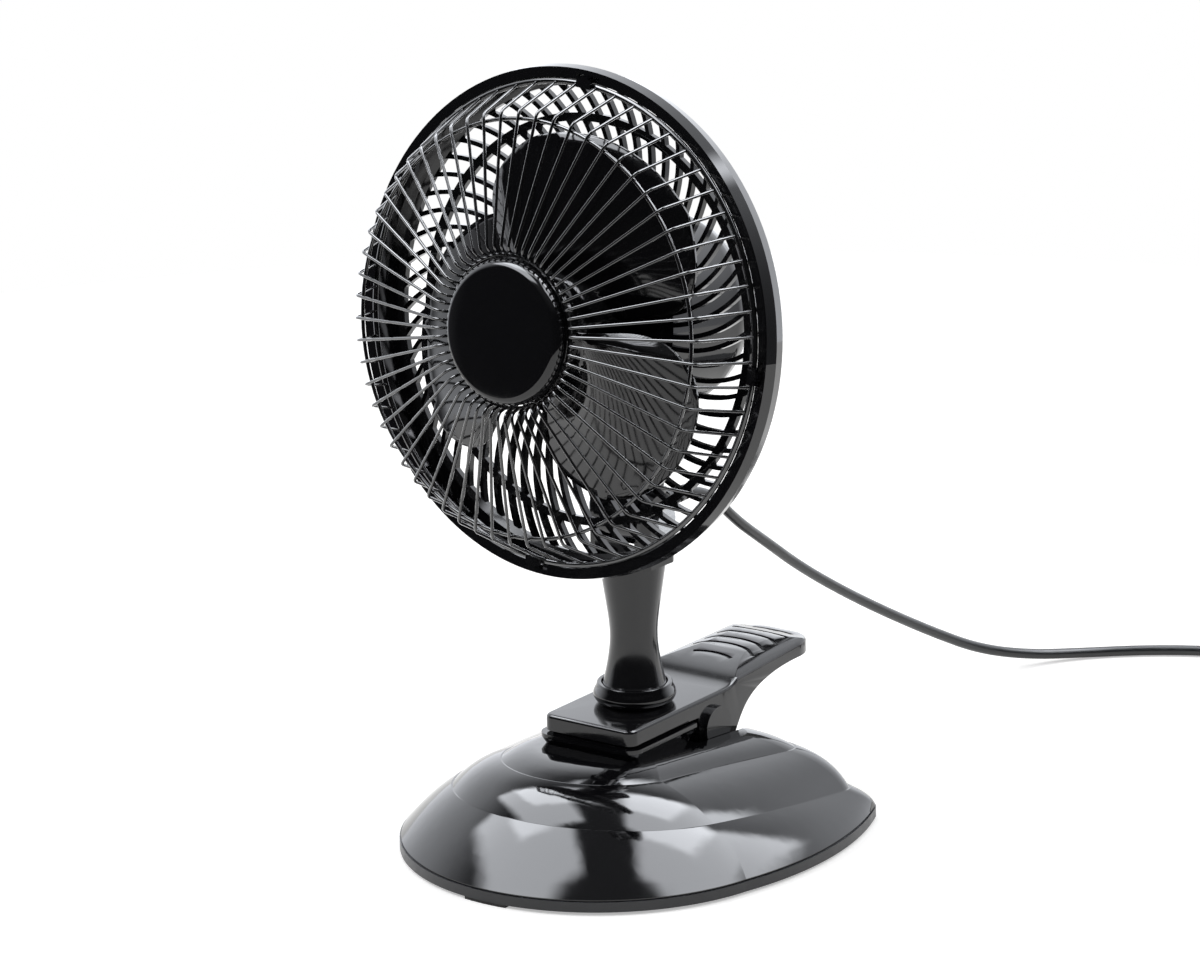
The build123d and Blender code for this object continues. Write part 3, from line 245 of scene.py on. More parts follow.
# %% Skin that rises and falls
def rippled(finish, patch_mm, depth_mm, detail=2.0):
    """Lets the skin rise and fall by a depth, in patches this many millimetres across."""
    tree = finish.node_tree
    where = add_node(tree, "ShaderNodeTexCoord")
    patches = add_node(tree, "ShaderNodeTexNoise", {
        "Vector": where.outputs["Object"], "Scale": 1 / (patch_mm * MM), "Detail": detail,
    })
    bump = add_node(tree, "ShaderNodeBump", {
        "Height": patches.outputs["Fac"], "Distance": depth_mm * MM, "Strength": 1.0,
    })
    tree.links.new(bump.outputs["Normal"], tree.nodes["Principled BSDF"].inputs["Normal"])


# %% [markdown]
# ## Moulded plastics
# The fan is nearly all black ABS, and what tells its pieces apart is how their moulds were
# finished. The dome, the guard's ring and the blades come from polished moulds: a mirror with a
# faint ripple where the plastic shrank. The neck and the handle are a little softer, and the
# base's rim has a fine satin grain. The real grain is about a tenth of a millimetre across. It
# is drawn half a millimetre across, so that it shows at all.

# %% Gloss ABS from a polished mould
gloss_abs = new_finish("moulded_gloss_abs", "#0a0a0c", 0.07, IOR=1.5)
uneven_gloss(gloss_abs, 9, 0.05, 0.10)
rippled(gloss_abs, 14, 0.012, detail=1.0)

# %% Semi-gloss ABS of the neck and handle
semigloss_abs = new_finish("moulded_semigloss_abs", "#111113", 0.11, IOR=1.5)
uneven_gloss(semigloss_abs, 6, 0.08, 0.14)
rippled(semigloss_abs, 0.6, 0.003, detail=3.0)

# %% Satin ABS of the base's rim
satin_abs = new_finish("moulded_satin_abs", "#1c1d20", 0.34, IOR=1.5)
uneven_gloss(satin_abs, 5, 0.30, 0.40)
rippled(satin_abs, 0.5, 0.01, detail=4.0)

# %% [markdown]
# ## Enamel, rubber and PVC
# The front guard's steel wire is dipped in glossy black enamel, which pools a little. The clear
# top of the enamel is a coat of its own, so each wire catches a thin bright line. The pads are
# matt rubber with a fine pitted skin, and the cord is satin PVC, drawn through a die.

# %% Enamelled wire
wire_enamel = new_finish(
    "enamelled_wire", "#060607", 0.09, IOR=1.52, Coat_Weight=1.0, Coat_Roughness=0.05,
)
uneven_gloss(wire_enamel, 4, 0.06, 0.13)
rippled(wire_enamel, 2.5, 0.006)

# %% Rubber of the pads
pad_rubber = new_finish("moulded_rubber", "#161616", 0.72, IOR=1.52)
uneven_gloss(pad_rubber, 4, 0.66, 0.8)
rippled(pad_rubber, 0.45, 0.04, detail=5.0)

# %% PVC of the cord and plug
cord_pvc = new_finish("extruded_pvc", "#131516", 0.36, IOR=1.53)
uneven_gloss(cord_pvc, 7, 0.32, 0.42)
rippled(cord_pvc, 0.9, 0.015, detail=3.0)

# %% [markdown]
# ## Metals
# Metals are plated or plain. Zinc plating is bluish and slightly uneven. The motor's stack is
# pressed from sheets half a millimetre thick, so fine lines run round it, and its winding is
# enamelled copper wire. Sintered bronze is dull and grainy, and the nickel on the plug's brass
# pins is warm and nearly smooth. A metal keeps the shader's own IOR.

# %% Zinc plating
zinc = new_finish("zinc_plated_steel", "#b4b7bb", 0.28, Metallic=1.0)
uneven_gloss(zinc, 1.5, 0.22, 0.36)
rippled(zinc, 0.4, 0.004)

# %% Ridges of a stack or a winding
def ridged(finish, where, spacing_mm, direction, waviness, low, high, depth_mm):
    """Draws parallel ridges that change both the gloss and the relief."""
    tree = finish.node_tree
    shader = tree.nodes["Principled BSDF"]
    ridges = add_node(tree, "ShaderNodeTexWave", {
        "Vector": where, "Scale": math.pi / (10 * spacing_mm * MM), "Distortion": waviness,
    }, wave_type="BANDS", bands_direction=direction)
    gloss = add_node(tree, "ShaderNodeMapRange", {
        "Value": ridges.outputs["Fac"], "From Min": 0.3, "From Max": 0.7,
        "To Min": low, "To Max": high,
    })
    bump = add_node(tree, "ShaderNodeBump", {
        "Height": ridges.outputs["Fac"], "Distance": depth_mm * MM, "Strength": 1.0,
    })
    tree.links.new(gloss.outputs["Result"], shader.inputs["Roughness"])
    tree.links.new(bump.outputs["Normal"], shader.inputs["Normal"])


# %% Laminated steel, with its sheets drawn 0.5 mm apart along the shaft
steel = new_finish("laminated_steel", "#8e8f90", 0.34, Metallic=1.0)
where = add_node(steel.node_tree, "ShaderNodeTexCoord")
along_shaft = add_node(steel.node_tree, "ShaderNodeMapping", {
    "Vector": where.outputs["Object"],
    "Rotation": (math.radians(-7.5), 0, math.radians(3)),
})
ridged(steel, along_shaft.outputs["Vector"], 0.5, "Y", 0.0, 0.28, 0.42, 0.03)

# %% Copper winding, wires drawn 0.6 mm apart
copper = new_finish("enamelled_copper", "#b4653a", 0.3, Metallic=1.0)
where = add_node(copper.node_tree, "ShaderNodeTexCoord")
ridged(copper, where.outputs["Object"], 0.6, "DIAGONAL", 1.2, 0.24, 0.4, 0.12)

# %% Sintered bronze
bronze = new_finish("sintered_bronze", "#9a6f3f", 0.5, Metallic=1.0)
uneven_gloss(bronze, 0.8, 0.42, 0.6)
rippled(bronze, 0.3, 0.02)

# %% Nickel plating
nickel = new_finish("nickel_plated_brass", "#cfc9bd", 0.16, Metallic=1.0)
uneven_gloss(nickel, 2, 0.12, 0.22)
rippled(nickel, 1.0, 0.002)

# %% [markdown]
# ## Finishes on the CAD nodes
# The record names a material slot for every node. One table turns a slot into a finish, so a
# node that stays as CAD made it only swaps its material.

# %% Slots to finishes
FINISHES = {
    "gloss_black": gloss_abs,
    "semigloss_black": semigloss_abs,
    "satin_dark_grey": satin_abs,
    "black_rubber": pad_rubber,
    "raw_steel": steel,
    "zinc_steel": zinc,
    "enamelled_wire": wire_enamel,
    "copper_winding": copper,
    "bronze": bronze,
    "cord_pvc": cord_pvc,
    "nickel_pins": nickel,
}
SLOT_OF = {part["node"]: part["material_slot"] for part in frame["record"]["subparts"]}
for name, node in frame["nodes"].items():
    node.data.materials.clear()
    node.data.materials.append(FINISHES[SLOT_OF[name]])
print("dressed", len(SLOT_OF), "nodes")

# %% [markdown]
# ## Helpers for new pieces
# A new piece is shaped in a bmesh, in millimetres, in the head's own frame or the table's. The
# last helper scales it to metres, smooths it, gives it its finish and ties it to its body.

# %% Frames of the head and of the table
AXIS_Z = 74.8
RING_Y = -48.2
TABLE = Matrix.Scale(MM, 4)
PAN = TABLE @ Matrix.Rotation(math.radians(-3), 4, "Z")
HEAD = (
    TABLE @ Matrix.Translation((0, 0, 122))
    @ Matrix.Rotation(math.radians(-3), 4, "Z")
    @ Matrix.Rotation(math.radians(-7.5), 4, "X")
)
fan_faces = (HEAD.to_3x3() @ Vector((0, -1, 0))).normalized()
print("the fan faces", [round(v, 3) for v in fan_faces])

# %% Finishing a piece
def finished(name, bm, place, body, slot, stands_for, sharp=38):
    """Turns a bmesh into a smooth piece in metres that rides on a body, or on none."""
    bmesh.ops.transform(bm, matrix=place, verts=bm.verts)
    bmesh.ops.remove_doubles(bm, verts=bm.verts, dist=0.001 * MM)
    bmesh.ops.recalc_face_normals(bm, faces=bm.faces)
    mesh = bpy.data.meshes.new(name)
    bm.to_mesh(mesh)
    bm.free()
    mesh.shade_smooth()
    mesh.set_sharp_from_angle(angle=math.radians(sharp))
    piece = bpy.data.objects.new(name, mesh)
    bpy.context.scene.collection.objects.link(piece)
    mesh.materials.append(FINISHES[slot])
    if body:
        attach(piece, body)
    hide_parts(*stands_for)
    print(name, len(mesh.polygons), "faces")
    return piece


# %% A turned profile
def turned(profile, steps=96, axis=(0, 1, 0), centre=(0, 0, AXIS_Z)):
    """A closed profile of (radius, along) corners, spun once round an axis along Y or Z."""
    bm = bmesh.new()
    if axis[1]:
        verts = [bm.verts.new((r + centre[0], a, centre[2])) for r, a in profile]
    else:
        verts = [bm.verts.new((r + centre[0], centre[1], a)) for r, a in profile]
    edges = [bm.edges.new(pair) for pair in zip(verts, verts[1:] + verts[:1])]
    bmesh.ops.spin(
        bm, geom=verts + edges, cent=centre, axis=axis, dvec=(0, 0, 0),
        angle=2 * math.pi, steps=steps, use_merge=True, use_normal_flip=False, use_duplicate=False,
    )
    bmesh.ops.remove_doubles(bm, verts=bm.verts, dist=0.0005)
    bmesh.ops.dissolve_degenerate(bm, edges=bm.edges, dist=0.0005)
    return bm


# %% A wire along a line
def wire_along(points, thick):
    """A bmesh of a round wire whose line is an open NURBS spline with these control points."""
    path = bpy.data.curves.new("path", "CURVE")
    path.dimensions = "3D"
    run = path.splines.new("NURBS")
    run.points.add(len(points) - 1)
    for control, where in zip(run.points, points):
        control.co = (*where, 1)
    run.order_u = 3
    run.use_endpoint_u = True
    run.resolution_u = 4
    path.bevel_depth = thick / 2
    path.bevel_resolution = 2
    path.use_fill_caps = True
    holder = bpy.data.objects.new("path", path)
    mesh = bpy.data.meshes.new_from_object(holder)
    bm = bmesh.new()
    bm.from_mesh(mesh)
    bpy.data.objects.remove(holder)
    bpy.data.curves.remove(path)
    bpy.data.meshes.remove(mesh)
    return bm


# %% Several shapes as one
def joined(*parts):
    """One bmesh from several."""
    whole = parts[0]
    for part in parts[1:]:
        mesh = bpy.data.meshes.new("part")
        part.to_mesh(mesh)
        part.free()
        whole.from_mesh(mesh)
        bpy.data.meshes.remove(mesh)
    return whole


# %% [markdown]
# ## Front guard
# Sixty steel wires, each bent on a jig: a short tip behind the cap, a long straight run down a
# shallow cone, a rounded shoulder, and a run back to the guard's ring. They are spot-welded to
# three rings. One wire is drawn along a spline and spun into sixty copies, so every bend stays
# round.

# %% Front guard's wires
WIRES = 60
WIRE = 1.15
WIRE_RING_RADIUS = 86.8


def ahead(distance):
    """The head's y of a plane this far in front of the guard's ring."""
    return RING_Y - distance


# Each point is its distance from the fan's axis and its distance in front of the guard's ring.
WIRE_LINE = [
    (27.6, 27.2), (27.7, 30.6), (30.2, 33.4), (34.0, 32.6), (38.0, 31.6), (58.0, 26.7),
    (70.0, 23.7), (74.6, 22.6), (77.9, 21.7), (79.2, 18.4), (81.0, 14.0), (83.9, 7.0),
    (WIRE_RING_RADIUS, -0.2),
]
# Radius, distance in front of the guard's ring, and thickness.
WIRE_RINGS = [(27.4, 29.4, 1.6), (75.0, 21.2, 1.4), (WIRE_RING_RADIUS, 0.0, 2.2)]
wires = wire_along([(r, ahead(a), AXIS_Z) for r, a in WIRE_LINE], WIRE)
bmesh.ops.spin(
    wires, geom=wires.verts[:] + wires.edges[:] + wires.faces[:],
    cent=(0, 0, AXIS_Z), axis=(0, 1, 0), angle=2 * math.pi * (WIRES - 1) / WIRES,
    steps=WIRES - 1, use_duplicate=True, use_merge=False,
)
rings = []
for radius, forward_by, thick in WIRE_RINGS:
    circle = []
    for degrees in range(0, 360, 36):
        angle = math.radians(degrees)
        circle.append((
            radius + thick / 2 * math.cos(angle), ahead(forward_by) + thick / 2 * math.sin(angle),
        ))
    rings.append(turned(circle, steps=120))
finished(
    "guard_wires", joined(wires, *rings), HEAD, "head", "enamelled_wire",
    stands_for=["front_guard"], sharp=60,
)

# %% [markdown]
# ## Fan blades
# The blade moulding is nearly right as CAD made it, but it rests 12 degrees from where the
# picture has it, and its blades lie a little too far forward. A copy of its mesh, with its
# loose triangles merged, is turned about the fan's axis, and its blades are swept back like a
# shallow cone. The hub stays as it is.

# %% Fan blades
def copied(node, place):
    """A node's merged mesh in a frame of millimetres, such as the head's."""
    bm = bmesh.new()
    bm.from_mesh(frame["nodes"][node].data)
    bmesh.ops.transform(bm, matrix=place.inverted(), verts=bm.verts)
    bmesh.ops.remove_doubles(bm, verts=bm.verts, dist=0.002)
    return bm


BLADE_TURN = math.radians(-12)
# Beyond the first radius, and up to full over the second length, a point moves back by the sum of
# the last two: one grows evenly and one with the square, so the tips bend back the most.
SWEEP_START = 24
SWEEP_RUN = 40
SWEEP_EVEN = 4.2
SWEEP_BENT = 4.3
blades = copied("fan_blades", HEAD)
bmesh.ops.rotate(
    blades, cent=(0, 0, AXIS_Z), matrix=Matrix.Rotation(BLADE_TURN, 3, "Y"),
    verts=blades.verts,
)
for vert in blades.verts:
    reach = math.hypot(vert.co.x, vert.co.z - AXIS_Z)
    share = min(1.0, max(0.0, (reach - SWEEP_START) / SWEEP_RUN))
    vert.co.y += SWEEP_EVEN * share + SWEEP_BENT * share ** 2
finished(
    "fan_moulding", blades, HEAD, "fan", "gloss_black", stands_for=["fan_blades"], sharp=50,
)

# %% [markdown]
# ## Rear housing
# The motor's rear cover is fuller in the picture than its CAD form: its round back keeps its
# width almost to the end. Each point of a merged copy is moved out and back by how far along
# the curve it lies, so the vents and the stalk stay as they are.

# %% Rear housing
# Where along the fan's axis, how far out, and how far back.
FULLER = [
    (3.5, 0.0, 0.0), (9.5, 1.8, 1.6), (15.0, 4.4, 1.8), (18.3, 6.0, 0.9), (19.5, 4.0, 0.0),
]
# The stalk begins beyond this radius. Nearer to the axis than the second one, points move less.
COVER_RADIUS = 36.5
FULL_FROM = 16
cover = copied("housing_rear", HEAD)
for vert in cover.verts:
    out = Vector((vert.co.x, 0, vert.co.z - AXIS_Z))
    reach = out.length
    for (y0, r0, b0), (y1, r1, b1) in zip(FULLER, FULLER[1:]):
        if y0 < vert.co.y <= y1 + 0.01 and 1 < reach < COVER_RADIUS:
            share = (vert.co.y - y0) / (y1 - y0)
            grow = (r0 + (r1 - r0) * share) * min(1.0, reach / FULL_FROM)
            vert.co += out.normalized() * grow
            vert.co.y += b0 + (b1 - b0) * share
            break
finished(
    "housing_rear_moulding", cover, HEAD, "head", SLOT_OF["housing_rear"],
    stands_for=["housing_rear"], sharp=40,
)

# %% [markdown]
# ## Clip's arm
# The jaw's plate and the grooved handle are one moulding, and no moulded edge is sharp. The
# flat faces of a merged copy are made whole again, so that a live bevel can round the edges
# between them and each edge carries its own thin line of light.

# %% Rounded edges
BEVEL_SEGMENTS = 3


def rounded(piece, width_mm, angle):
    """Rounds a piece's corners with a live bevel."""
    bevel = piece.modifiers.new("rounding", "BEVEL")
    bevel.width = width_mm * MM
    bevel.segments = BEVEL_SEGMENTS
    bevel.limit_method = "ANGLE"
    bevel.angle_limit = math.radians(angle)
    bevel.harden_normals = True
    print(piece.name, "rounded by", width_mm, "mm")


# %% Clip's arm
arm_mesh = copied("clip_arm", TABLE)
bmesh.ops.dissolve_limit(
    arm_mesh, angle_limit=math.radians(0.5), verts=arm_mesh.verts, edges=arm_mesh.edges,
)
arm = finished(
    "clip_arm_moulding", arm_mesh, TABLE, "clip_arm", SLOT_OF["clip_arm"], stands_for=["clip_arm"],
)
rounded(arm, 1.3, angle=42)

# %% [markdown]
# ## Hub cap
# The cap closes the wires' centre. It is one glossy moulding: a face that is very slightly
# domed, a rounded shoulder that catches a light crescent, and a short skirt over the wires'
# tips.

# %% Hub cap
CAP_PROFILE = [
    (0.0, 35.2), (12.0, 35.19), (23.2, 35.15), (23.7, 35.05), (24.2, 34.8), (24.9, 34.3),
    (25.5, 33.6), (26.0, 32.6), (26.2, 31.4), (26.3, 29.7), (24.9, 29.7), (24.6, 32.0),
    (22.6, 33.2), (0.0, 33.6),
]
finished(
    "hub_cap_moulding", turned([(r, ahead(a)) for r, a in CAP_PROFILE], steps=128),
    HEAD, "head", "gloss_black", stands_for=["hub_cap"],
)

# %% [markdown]
# ## Collar
# The neck turns in a bellied ring that is screwed to the jaw's plate. Its belly throws one soft
# highlight, which needs a rounder form than the CAD ring's few facets.

# %% Collar
PLATE_TOP = 49.8
COLLAR_PROFILE = [
    (12.2, 0.0), (13.0, 0.0), (13.5, 0.5), (14.4, 1.4), (15.0, 2.4), (15.3, 3.4), (15.2, 4.4),
    (14.8, 5.4), (14.3, 6.3), (14.0, 7.0), (13.9, 7.6), (13.6, 7.95), (12.8, 8.0), (12.3, 7.9),
    (12.2, 7.6),
]
finished(
    "neck_collar_ring",
    turned([(r, PLATE_TOP + h) for r, h in COLLAR_PROFILE], axis=(0, 0, 1), centre=(0, 0, 0)),
    TABLE, "clip_arm", "gloss_black", stands_for=["neck_collar"],
)

# %% [markdown]
# ## Clip's spring
# A torsion spring is wound from round wire, with one leg pressed against the base and one under
# the handle. The helix is drawn as a spline with twelve points a turn. It rides on no body.

# %% Clip's spring
PIVOT_Y = 21.9
PIVOT_Z = 37.5
SPRING_WIRE = 1.8
SPRING_RADIUS = 8.5
SPRING_TURNS = 4.5
SPRING_PITCH = 4.4
SPRING_LEG = 22.0
SPRING_STEPS = 12
LEG_START = 4
half = SPRING_TURNS * SPRING_PITCH / 2
reach = SPRING_RADIUS / (0.75 + 0.25 * math.cos(2 * math.pi / SPRING_STEPS))
low = PIVOT_Z - SPRING_RADIUS
high = PIVOT_Z + SPRING_RADIUS
winding = [(half, PIVOT_Y + SPRING_LEG, low), (half, PIVOT_Y + LEG_START, low)]
for i in range(int(SPRING_TURNS * SPRING_STEPS) + 1):
    turn = 2 * math.pi * i / SPRING_STEPS
    winding.append((
        half - SPRING_PITCH * turn / (2 * math.pi),
        PIVOT_Y - reach * math.sin(turn),
        PIVOT_Z - reach * math.cos(turn),
    ))
winding += [(-half, PIVOT_Y + LEG_START, high), (-half, PIVOT_Y + SPRING_LEG, high)]
spring = finished(
    "clip_spring_wire", wire_along(winding, SPRING_WIRE), TABLE, None, "zinc_steel",
    stands_for=["clip_spring"], sharp=60,
)
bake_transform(spring)

# %% [markdown]
# ## Strain relief
# Where the cord leaves the knuckle a rubber sleeve stops it from kinking. It tapers over 22 mm,
# and its rings let it bend. It is a profile turned about the sleeve's own axis. It starts
# inside the round knuckle and stays with the clip's arm.

# %% Strain relief
RELIEF_START = 12.2
RELIEF_END = 34.2
RINGS = 6
ring_length = (RELIEF_END - RELIEF_START) / RINGS
sleeve_profile = [(0.0, RELIEF_START - 4), (2.6, RELIEF_START - 4), (2.6, RELIEF_START)]
for i in range(RINGS):
    start = RELIEF_START + i * ring_length
    swell = 3.7 - 0.17 * i
    sleeve_profile += [
        (swell - 0.25, start), (swell, start + 0.3), (swell - 0.06, start + ring_length - 1.3),
        (swell - 0.3, start + ring_length - 1.0), (swell - 0.75, start + ring_length - 0.95),
        (swell - 0.8, start + ring_length - 0.1),
    ]
sleeve_profile += [(2.15, RELIEF_END), (0.0, RELIEF_END)]
finished(
    "strain_relief_sleeve", turned(sleeve_profile, steps=48, centre=(0, 0, 122)),
    PAN, "clip_arm", "cord_pvc", stands_for=["strain_relief"],
)

# %% [markdown]
# ## Plug
# A flat two-pin plug is moulded round the cord's end. A cube is stretched, its upright corners
# are bevelled to the plug's round plan, its tail is drawn in towards the sleeve, and a live
# bevel rounds the rest. The two pins are turned and have rounded tips.

# %% Plug
PLUG_LENGTH = 35.0
PLUG_WIDTH = 35.0
PLUG_THICK = 13.7
PLUG_SLEEVE = 20.0
PIN_SPACING = 18.6
PLUG_CORNER = 9
# How much narrower and thinner the tail gets, as shares.
TAIL_NARROWER = 0.22
TAIL_THINNER = 0.1
TAIL_RINGS = 6
TAIL_RING = 3.4
PIN_PROFILE = [(0, 0), (2.0, 0), (2.0, 17.6), (1.8, 18.4), (1.2, 18.9), (0, 19.0)]
plug_place = (
    TABLE @ Matrix.Translation((PLUG_START[0], PLUG_START[1], 0))
    @ Matrix.Rotation(math.pi, 4, "Z")
)

grip = bmesh.new()
bmesh.ops.create_cube(grip, size=1)
bmesh.ops.scale(grip, vec=(PLUG_WIDTH, PLUG_LENGTH, PLUG_THICK), verts=grip.verts)
upright = [e for e in grip.edges if abs(e.verts[0].co.z - e.verts[1].co.z) > 1]
bmesh.ops.bevel(
    grip, geom=upright, offset=PLUG_CORNER, offset_type="OFFSET", segments=6, profile=0.5,
    affect="EDGES", material=-1,
)
for vert in grip.verts:
    drawn_in = max(0.0, -vert.co.y / PLUG_LENGTH * 2)
    vert.co.x *= 1 - TAIL_NARROWER * drawn_in ** 2
    vert.co.z *= 1 - TAIL_THINNER * drawn_in
bmesh.ops.translate(grip, vec=(0, PLUG_SLEEVE + PLUG_LENGTH / 2, PLUG_AXIS_Z), verts=grip.verts)
tail_profile = [(0.0, 0.0), (2.3, 0.0)]
for i in range(TAIL_RINGS):
    start = TAIL_RING * i
    swell = 2.9 + 0.42 * i
    tail_profile += [
        (swell - 0.5, start + 0.1), (swell - 0.45, start + 0.9), (swell, start + 1.1),
        (swell + 0.3, start + 3.3),
    ]
tail_profile += [(5.4, 21.5), (5.4, 26.0), (0.0, 26.0)]
tail = turned(tail_profile, steps=40, centre=(0, 0, PLUG_AXIS_Z))
plug = finished(
    "plug_moulding", joined(grip, tail), plug_place, "base", "cord_pvc", stands_for=["plug_body"],
)
rounded(plug, 1.6, angle=50)

pins = []
for side in (-1, 1):
    pin = turned(PIN_PROFILE, steps=32, centre=(0, 0, PLUG_AXIS_Z))
    aside = (side * PIN_SPACING / 2, PLUG_SLEEVE + PLUG_LENGTH, 0)
    bmesh.ops.translate(pin, vec=aside, verts=pin.verts)
    pins.append(pin)
plug_pins = finished(
    "plug_pin_pair", joined(*pins), plug_place, "base", "nickel_pins", stands_for=["plug_pins"],
)

# %% [markdown]
# ## Cord's tube and facts
# The cord's solids in the CAD model are stand-ins, so the spline replaces both the run and the
# coil. The lead is 1.4 m long up to its plug. The spline becomes a tube that rides on no body,
# and its line without thickness is also made into a mesh of its own.

# %% Cord's tube
tube = bmesh.new()
tube_mesh = bpy.data.meshes.new_from_object(lead)
tube.from_mesh(tube_mesh)
bmesh.ops.remove_doubles(tube, verts=tube.verts, dist=0.001 * MM)
bmesh.ops.recalc_face_normals(tube, faces=tube.faces)
tube.to_mesh(tube_mesh)
tube.free()
tube_mesh.shade_smooth()
tube_mesh.set_sharp_from_angle(angle=math.radians(60))
tube_mesh.materials.clear()
tube_mesh.materials.append(cord_pvc)
curve.bevel_depth = 0
thin_line = bpy.data.meshes.new_from_object(lead)
bpy.data.objects.remove(lead)
lead = bpy.data.objects.new("power_lead", tube_mesh)
bpy.context.scene.collection.objects.link(lead)

# %% Cord's facts
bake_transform(lead)
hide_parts("power_cord", "cord_coil")
print("the cord bends from the exit to", ROUTE[7], "mm")

# %% [markdown]
# ## Floor and lamps
# A pale round table stands under the object, with soft boxes left, right and above, as in a
# product studio. The lamps are hidden from gloss, so they light only what is matt. The table
# lends a little light of its own, so it fades into the white and only the shadow under the
# object shows.

# %% Floor
TABLE_RADIUS = 0.8
LENT_LIGHT = 0.4

floor_mesh = bmesh.new()
bmesh.ops.create_circle(floor_mesh, cap_ends=True, radius=TABLE_RADIUS, segments=96)
floor_data = bpy.data.meshes.new("table")
floor_mesh.to_mesh(floor_data)
floor_mesh.free()
floor = bpy.data.objects.new("table", floor_data)
bpy.context.scene.collection.objects.link(floor)
table_white = new_finish(
    "table_white", "#ececec", 0.6, Specular_IOR_Level=0.0, Emission_Color=(1, 1, 1, 1),
)
uneven_gloss(table_white, 60, 0.55, 0.65)
tree = table_white.node_tree
rays = add_node(tree, "ShaderNodeLightPath")
lent = add_node(tree, "ShaderNodeMath", {
    0: rays.outputs["Is Camera Ray"], 1: rays.outputs["Is Glossy Ray"],
}, operation="MAXIMUM")
lent = add_node(tree, "ShaderNodeMath", {
    0: lent.outputs["Value"], 1: rays.outputs["Is Transmission Ray"],
}, operation="MAXIMUM")
lent = add_node(tree, "ShaderNodeMath", {
    0: lent.outputs["Value"], 1: LENT_LIGHT,
}, operation="MULTIPLY")
tree.links.new(lent.outputs["Value"], tree.nodes["Principled BSDF"].inputs["Emission Strength"])
floor_data.materials.append(table_white)
print("table", 2 * TABLE_RADIUS, "m across")

# %% Soft boxes
def direction_at(azimuth, elevation):
    """The direction at these angles in degrees, counted from the camera's side."""
    turn = AZIMUTH + math.radians(azimuth)
    lift = math.radians(elevation)
    return Vector((
        math.sin(turn) * math.cos(lift), -math.cos(turn) * math.cos(lift), math.sin(lift),
    ))


def soft_box(name, azimuth, elevation, distance, size, radiance):
    """A rectangular lamp that faces the object. Only matt light comes from it."""
    direction = direction_at(azimuth, elevation)
    lamp = bpy.data.lights.new(name, "AREA")
    lamp.shape = "RECTANGLE"
    lamp.size = size[0]
    lamp.size_y = size[1]
    lamp.energy = radiance * math.pi * size[0] * size[1]
    holder = bpy.data.objects.new(name, lamp)
    holder.location = LOOK_AT + direction * distance
    holder.rotation_euler = (-direction).to_track_quat("-Z", "Y").to_euler()
    holder.visible_glossy = False
    bpy.context.scene.collection.objects.link(holder)
    print(name, round(lamp.energy, 2), "W")


soft_box("left_soft_box", -88, 42, 1.6, (1.0, 1.1), 4.2)
soft_box("right_soft_box", 95, 38, 1.6, (0.8, 1.0), 4.2)
soft_box("top_soft_box", 180, 72, 1.8, (0.9, 0.9), 2.2)

# %% [markdown]
# ## Sky
# Black gloss is only what it reflects, so the studio that it mirrors is drawn in the sky: a
# bright white sweep behind the object, three windows with soft edges, a dim ceiling, and a dark
# room round the camera. All of it has a cool tint. The camera itself sees white.

# %% Sky
SWEEP_LIGHT = 2.0
CEILING_LIGHT = 0.22
ROOM_LIGHT = 0.035
MATT_LIGHT = 0.45
SOFT_EDGE = 0.06
# Azimuth, elevation, width and height in degrees, and brightness.
WINDOWS = [(-88, 60, 50, 38, 8.5), (92, 58, 50, 36, 8.5), (180, 76, 70, 30, 6.0)]

world = bpy.data.worlds.new("studio")
bpy.context.scene.world = world
world.use_nodes = True
tree = world.node_tree
rays = add_node(tree, "ShaderNodeLightPath")
towards = add_node(tree, "ShaderNodeTexCoord").outputs["Generated"]
print("sky's brightest pane", max(pane[4] for pane in WINDOWS))

# %% Windows that the gloss mirrors
def window(azimuth, elevation, width, height, strength):
    """A bright window with soft edges, by its middle and its angles in degrees."""
    middle = direction_at(azimuth, elevation)
    turn = AZIMUTH + math.radians(azimuth)
    across = Vector((math.cos(turn), math.sin(turn), 0))
    facing = add_node(tree, "ShaderNodeVectorMath", {
        0: towards, 1: middle,
    }, operation="DOT_PRODUCT")
    shape = add_node(tree, "ShaderNodeMapRange", {
        "Value": facing.outputs["Value"], "From Min": 0.12, "From Max": 0.05,
        "To Min": strength, "To Max": 0.0,
    }, interpolation_type="SMOOTHSTEP").outputs["Result"]
    for side, angle in ((across, width), (middle.cross(across), height)):
        edge = math.tan(math.radians(angle / 2))
        beside = add_node(tree, "ShaderNodeVectorMath", {
            0: towards, 1: side,
        }, operation="DOT_PRODUCT")
        offset = add_node(tree, "ShaderNodeMath", {
            0: beside.outputs["Value"], 1: facing.outputs["Value"],
        }, operation="DIVIDE")
        offset = add_node(tree, "ShaderNodeMath", {
            0: offset.outputs["Value"],
        }, operation="ABSOLUTE")
        within = add_node(tree, "ShaderNodeMapRange", {
            "Value": offset.outputs["Value"], "From Min": edge - SOFT_EDGE,
            "From Max": edge + SOFT_EDGE, "To Min": 1.0, "To Max": 0.0,
        }, interpolation_type="SMOOTHSTEP")
        shape = add_node(tree, "ShaderNodeMath", {
            0: shape, 1: within.outputs["Result"],
        }, operation="MULTIPLY").outputs["Value"]
    return shape


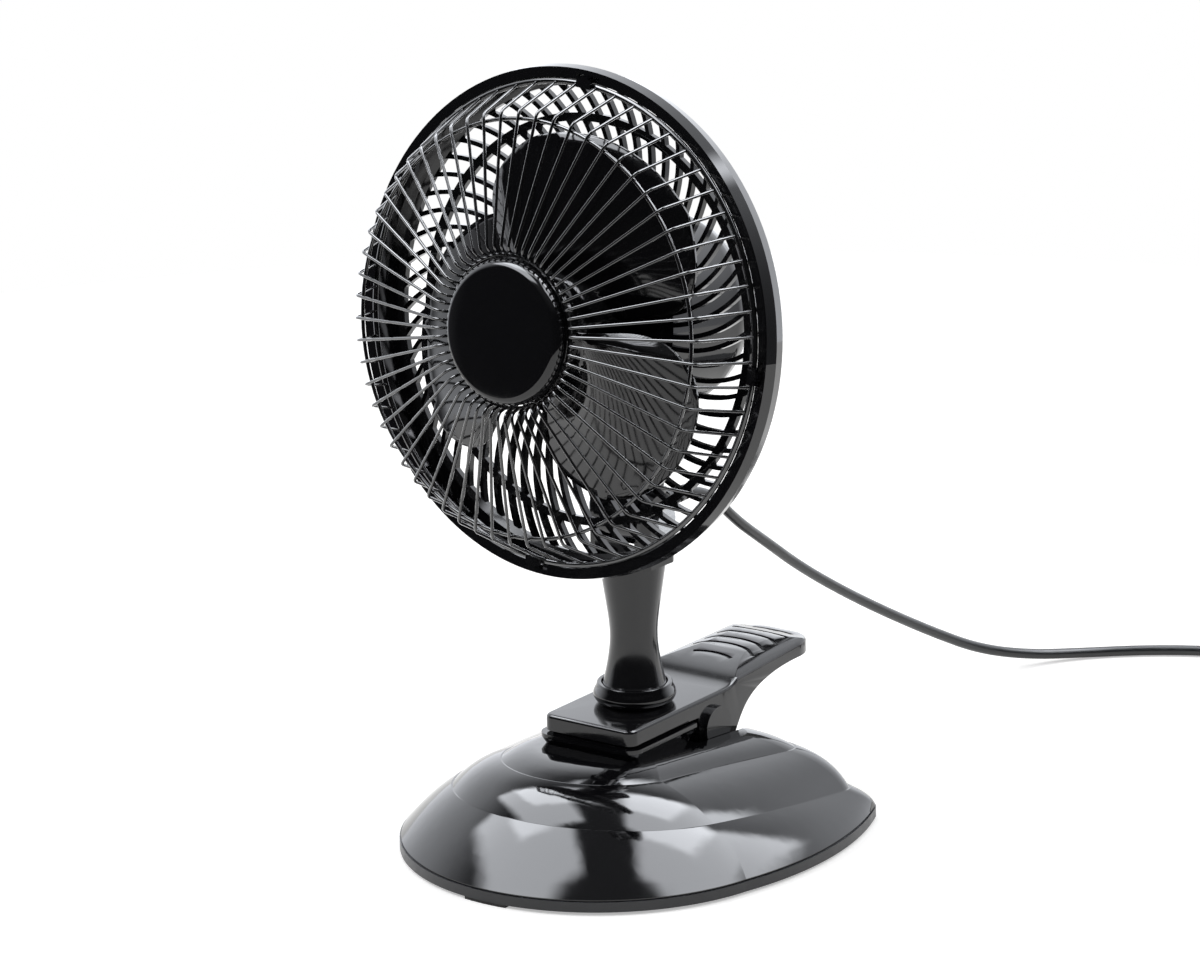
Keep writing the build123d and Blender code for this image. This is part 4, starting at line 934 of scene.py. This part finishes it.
# %% Sweep, ceiling and room
behind = add_node(tree, "ShaderNodeVectorMath", {
    0: towards, 1: (-math.sin(AZIMUTH), math.cos(AZIMUTH), 0),
}, operation="DOT_PRODUCT")
overhead = add_node(tree, "ShaderNodeVectorMath", {
    0: towards, 1: (0, 0, 1),
}, operation="DOT_PRODUCT")
sweep = add_node(tree, "ShaderNodeMapRange", {
    "Value": behind.outputs["Value"], "From Min": 0.55, "From Max": -0.15,
    "To Min": SWEEP_LIGHT, "To Max": 0.0,
}, interpolation_type="SMOOTHSTEP")
sweep_top = add_node(tree, "ShaderNodeMapRange", {
    "Value": overhead.outputs["Value"], "From Min": 0.5, "From Max": 0.95,
    "To Min": 1.0, "To Max": 0.0,
}, interpolation_type="SMOOTHSTEP")
sweep = add_node(tree, "ShaderNodeMath", {
    0: sweep.outputs["Result"], 1: sweep_top.outputs["Result"],
}, operation="MULTIPLY")
ceiling = add_node(tree, "ShaderNodeMapRange", {
    "Value": overhead.outputs["Value"], "From Min": 0.85, "From Max": 0.35,
    "To Min": CEILING_LIGHT, "To Max": 0.0,
}, interpolation_type="SMOOTHSTEP")
room = add_node(tree, "ShaderNodeMath", {
    0: ceiling.outputs["Result"], 1: ROOM_LIGHT,
}, operation="MAXIMUM")
mirror_sky = add_node(tree, "ShaderNodeMath", {
    0: sweep.outputs["Value"], 1: room.outputs["Value"],
}, operation="MAXIMUM")
for pane in WINDOWS:
    mirror_sky = add_node(tree, "ShaderNodeMath", {
        0: mirror_sky.outputs["Value"], 1: window(*pane),
    }, operation="ADD")
print("windows", len(WINDOWS))

# %% What each kind of ray sees
mirrored = add_node(tree, "ShaderNodeMath", {
    0: rays.outputs["Is Glossy Ray"], 1: rays.outputs["Is Transmission Ray"],
}, operation="MAXIMUM")
seen = add_node(tree, "ShaderNodeMix", {
    "Factor": mirrored.outputs["Value"], "A": MATT_LIGHT, "B": mirror_sky.outputs["Value"],
}, data_type="FLOAT")
level = add_node(tree, "ShaderNodeMix", {
    "Factor": rays.outputs["Is Camera Ray"], "A": seen.outputs["Result"], "B": 1.0,
}, data_type="FLOAT")
# Sockets 6 and 7 of this node are its two colours, and output 2 is their mix.
daylight = add_node(tree, "ShaderNodeMix", {
    0: mirrored.outputs["Value"], 6: (1, 1, 1, 1), 7: colour("#f6f9ff"),
}, data_type="RGBA")
background = tree.nodes["Background"]
tree.links.new(level.outputs["Result"], background.inputs["Strength"])
tree.links.new(daylight.outputs[2], background.inputs["Color"])
bpy.context.scene.view_settings.view_transform = "Standard"
print("sky nodes", len(tree.nodes))
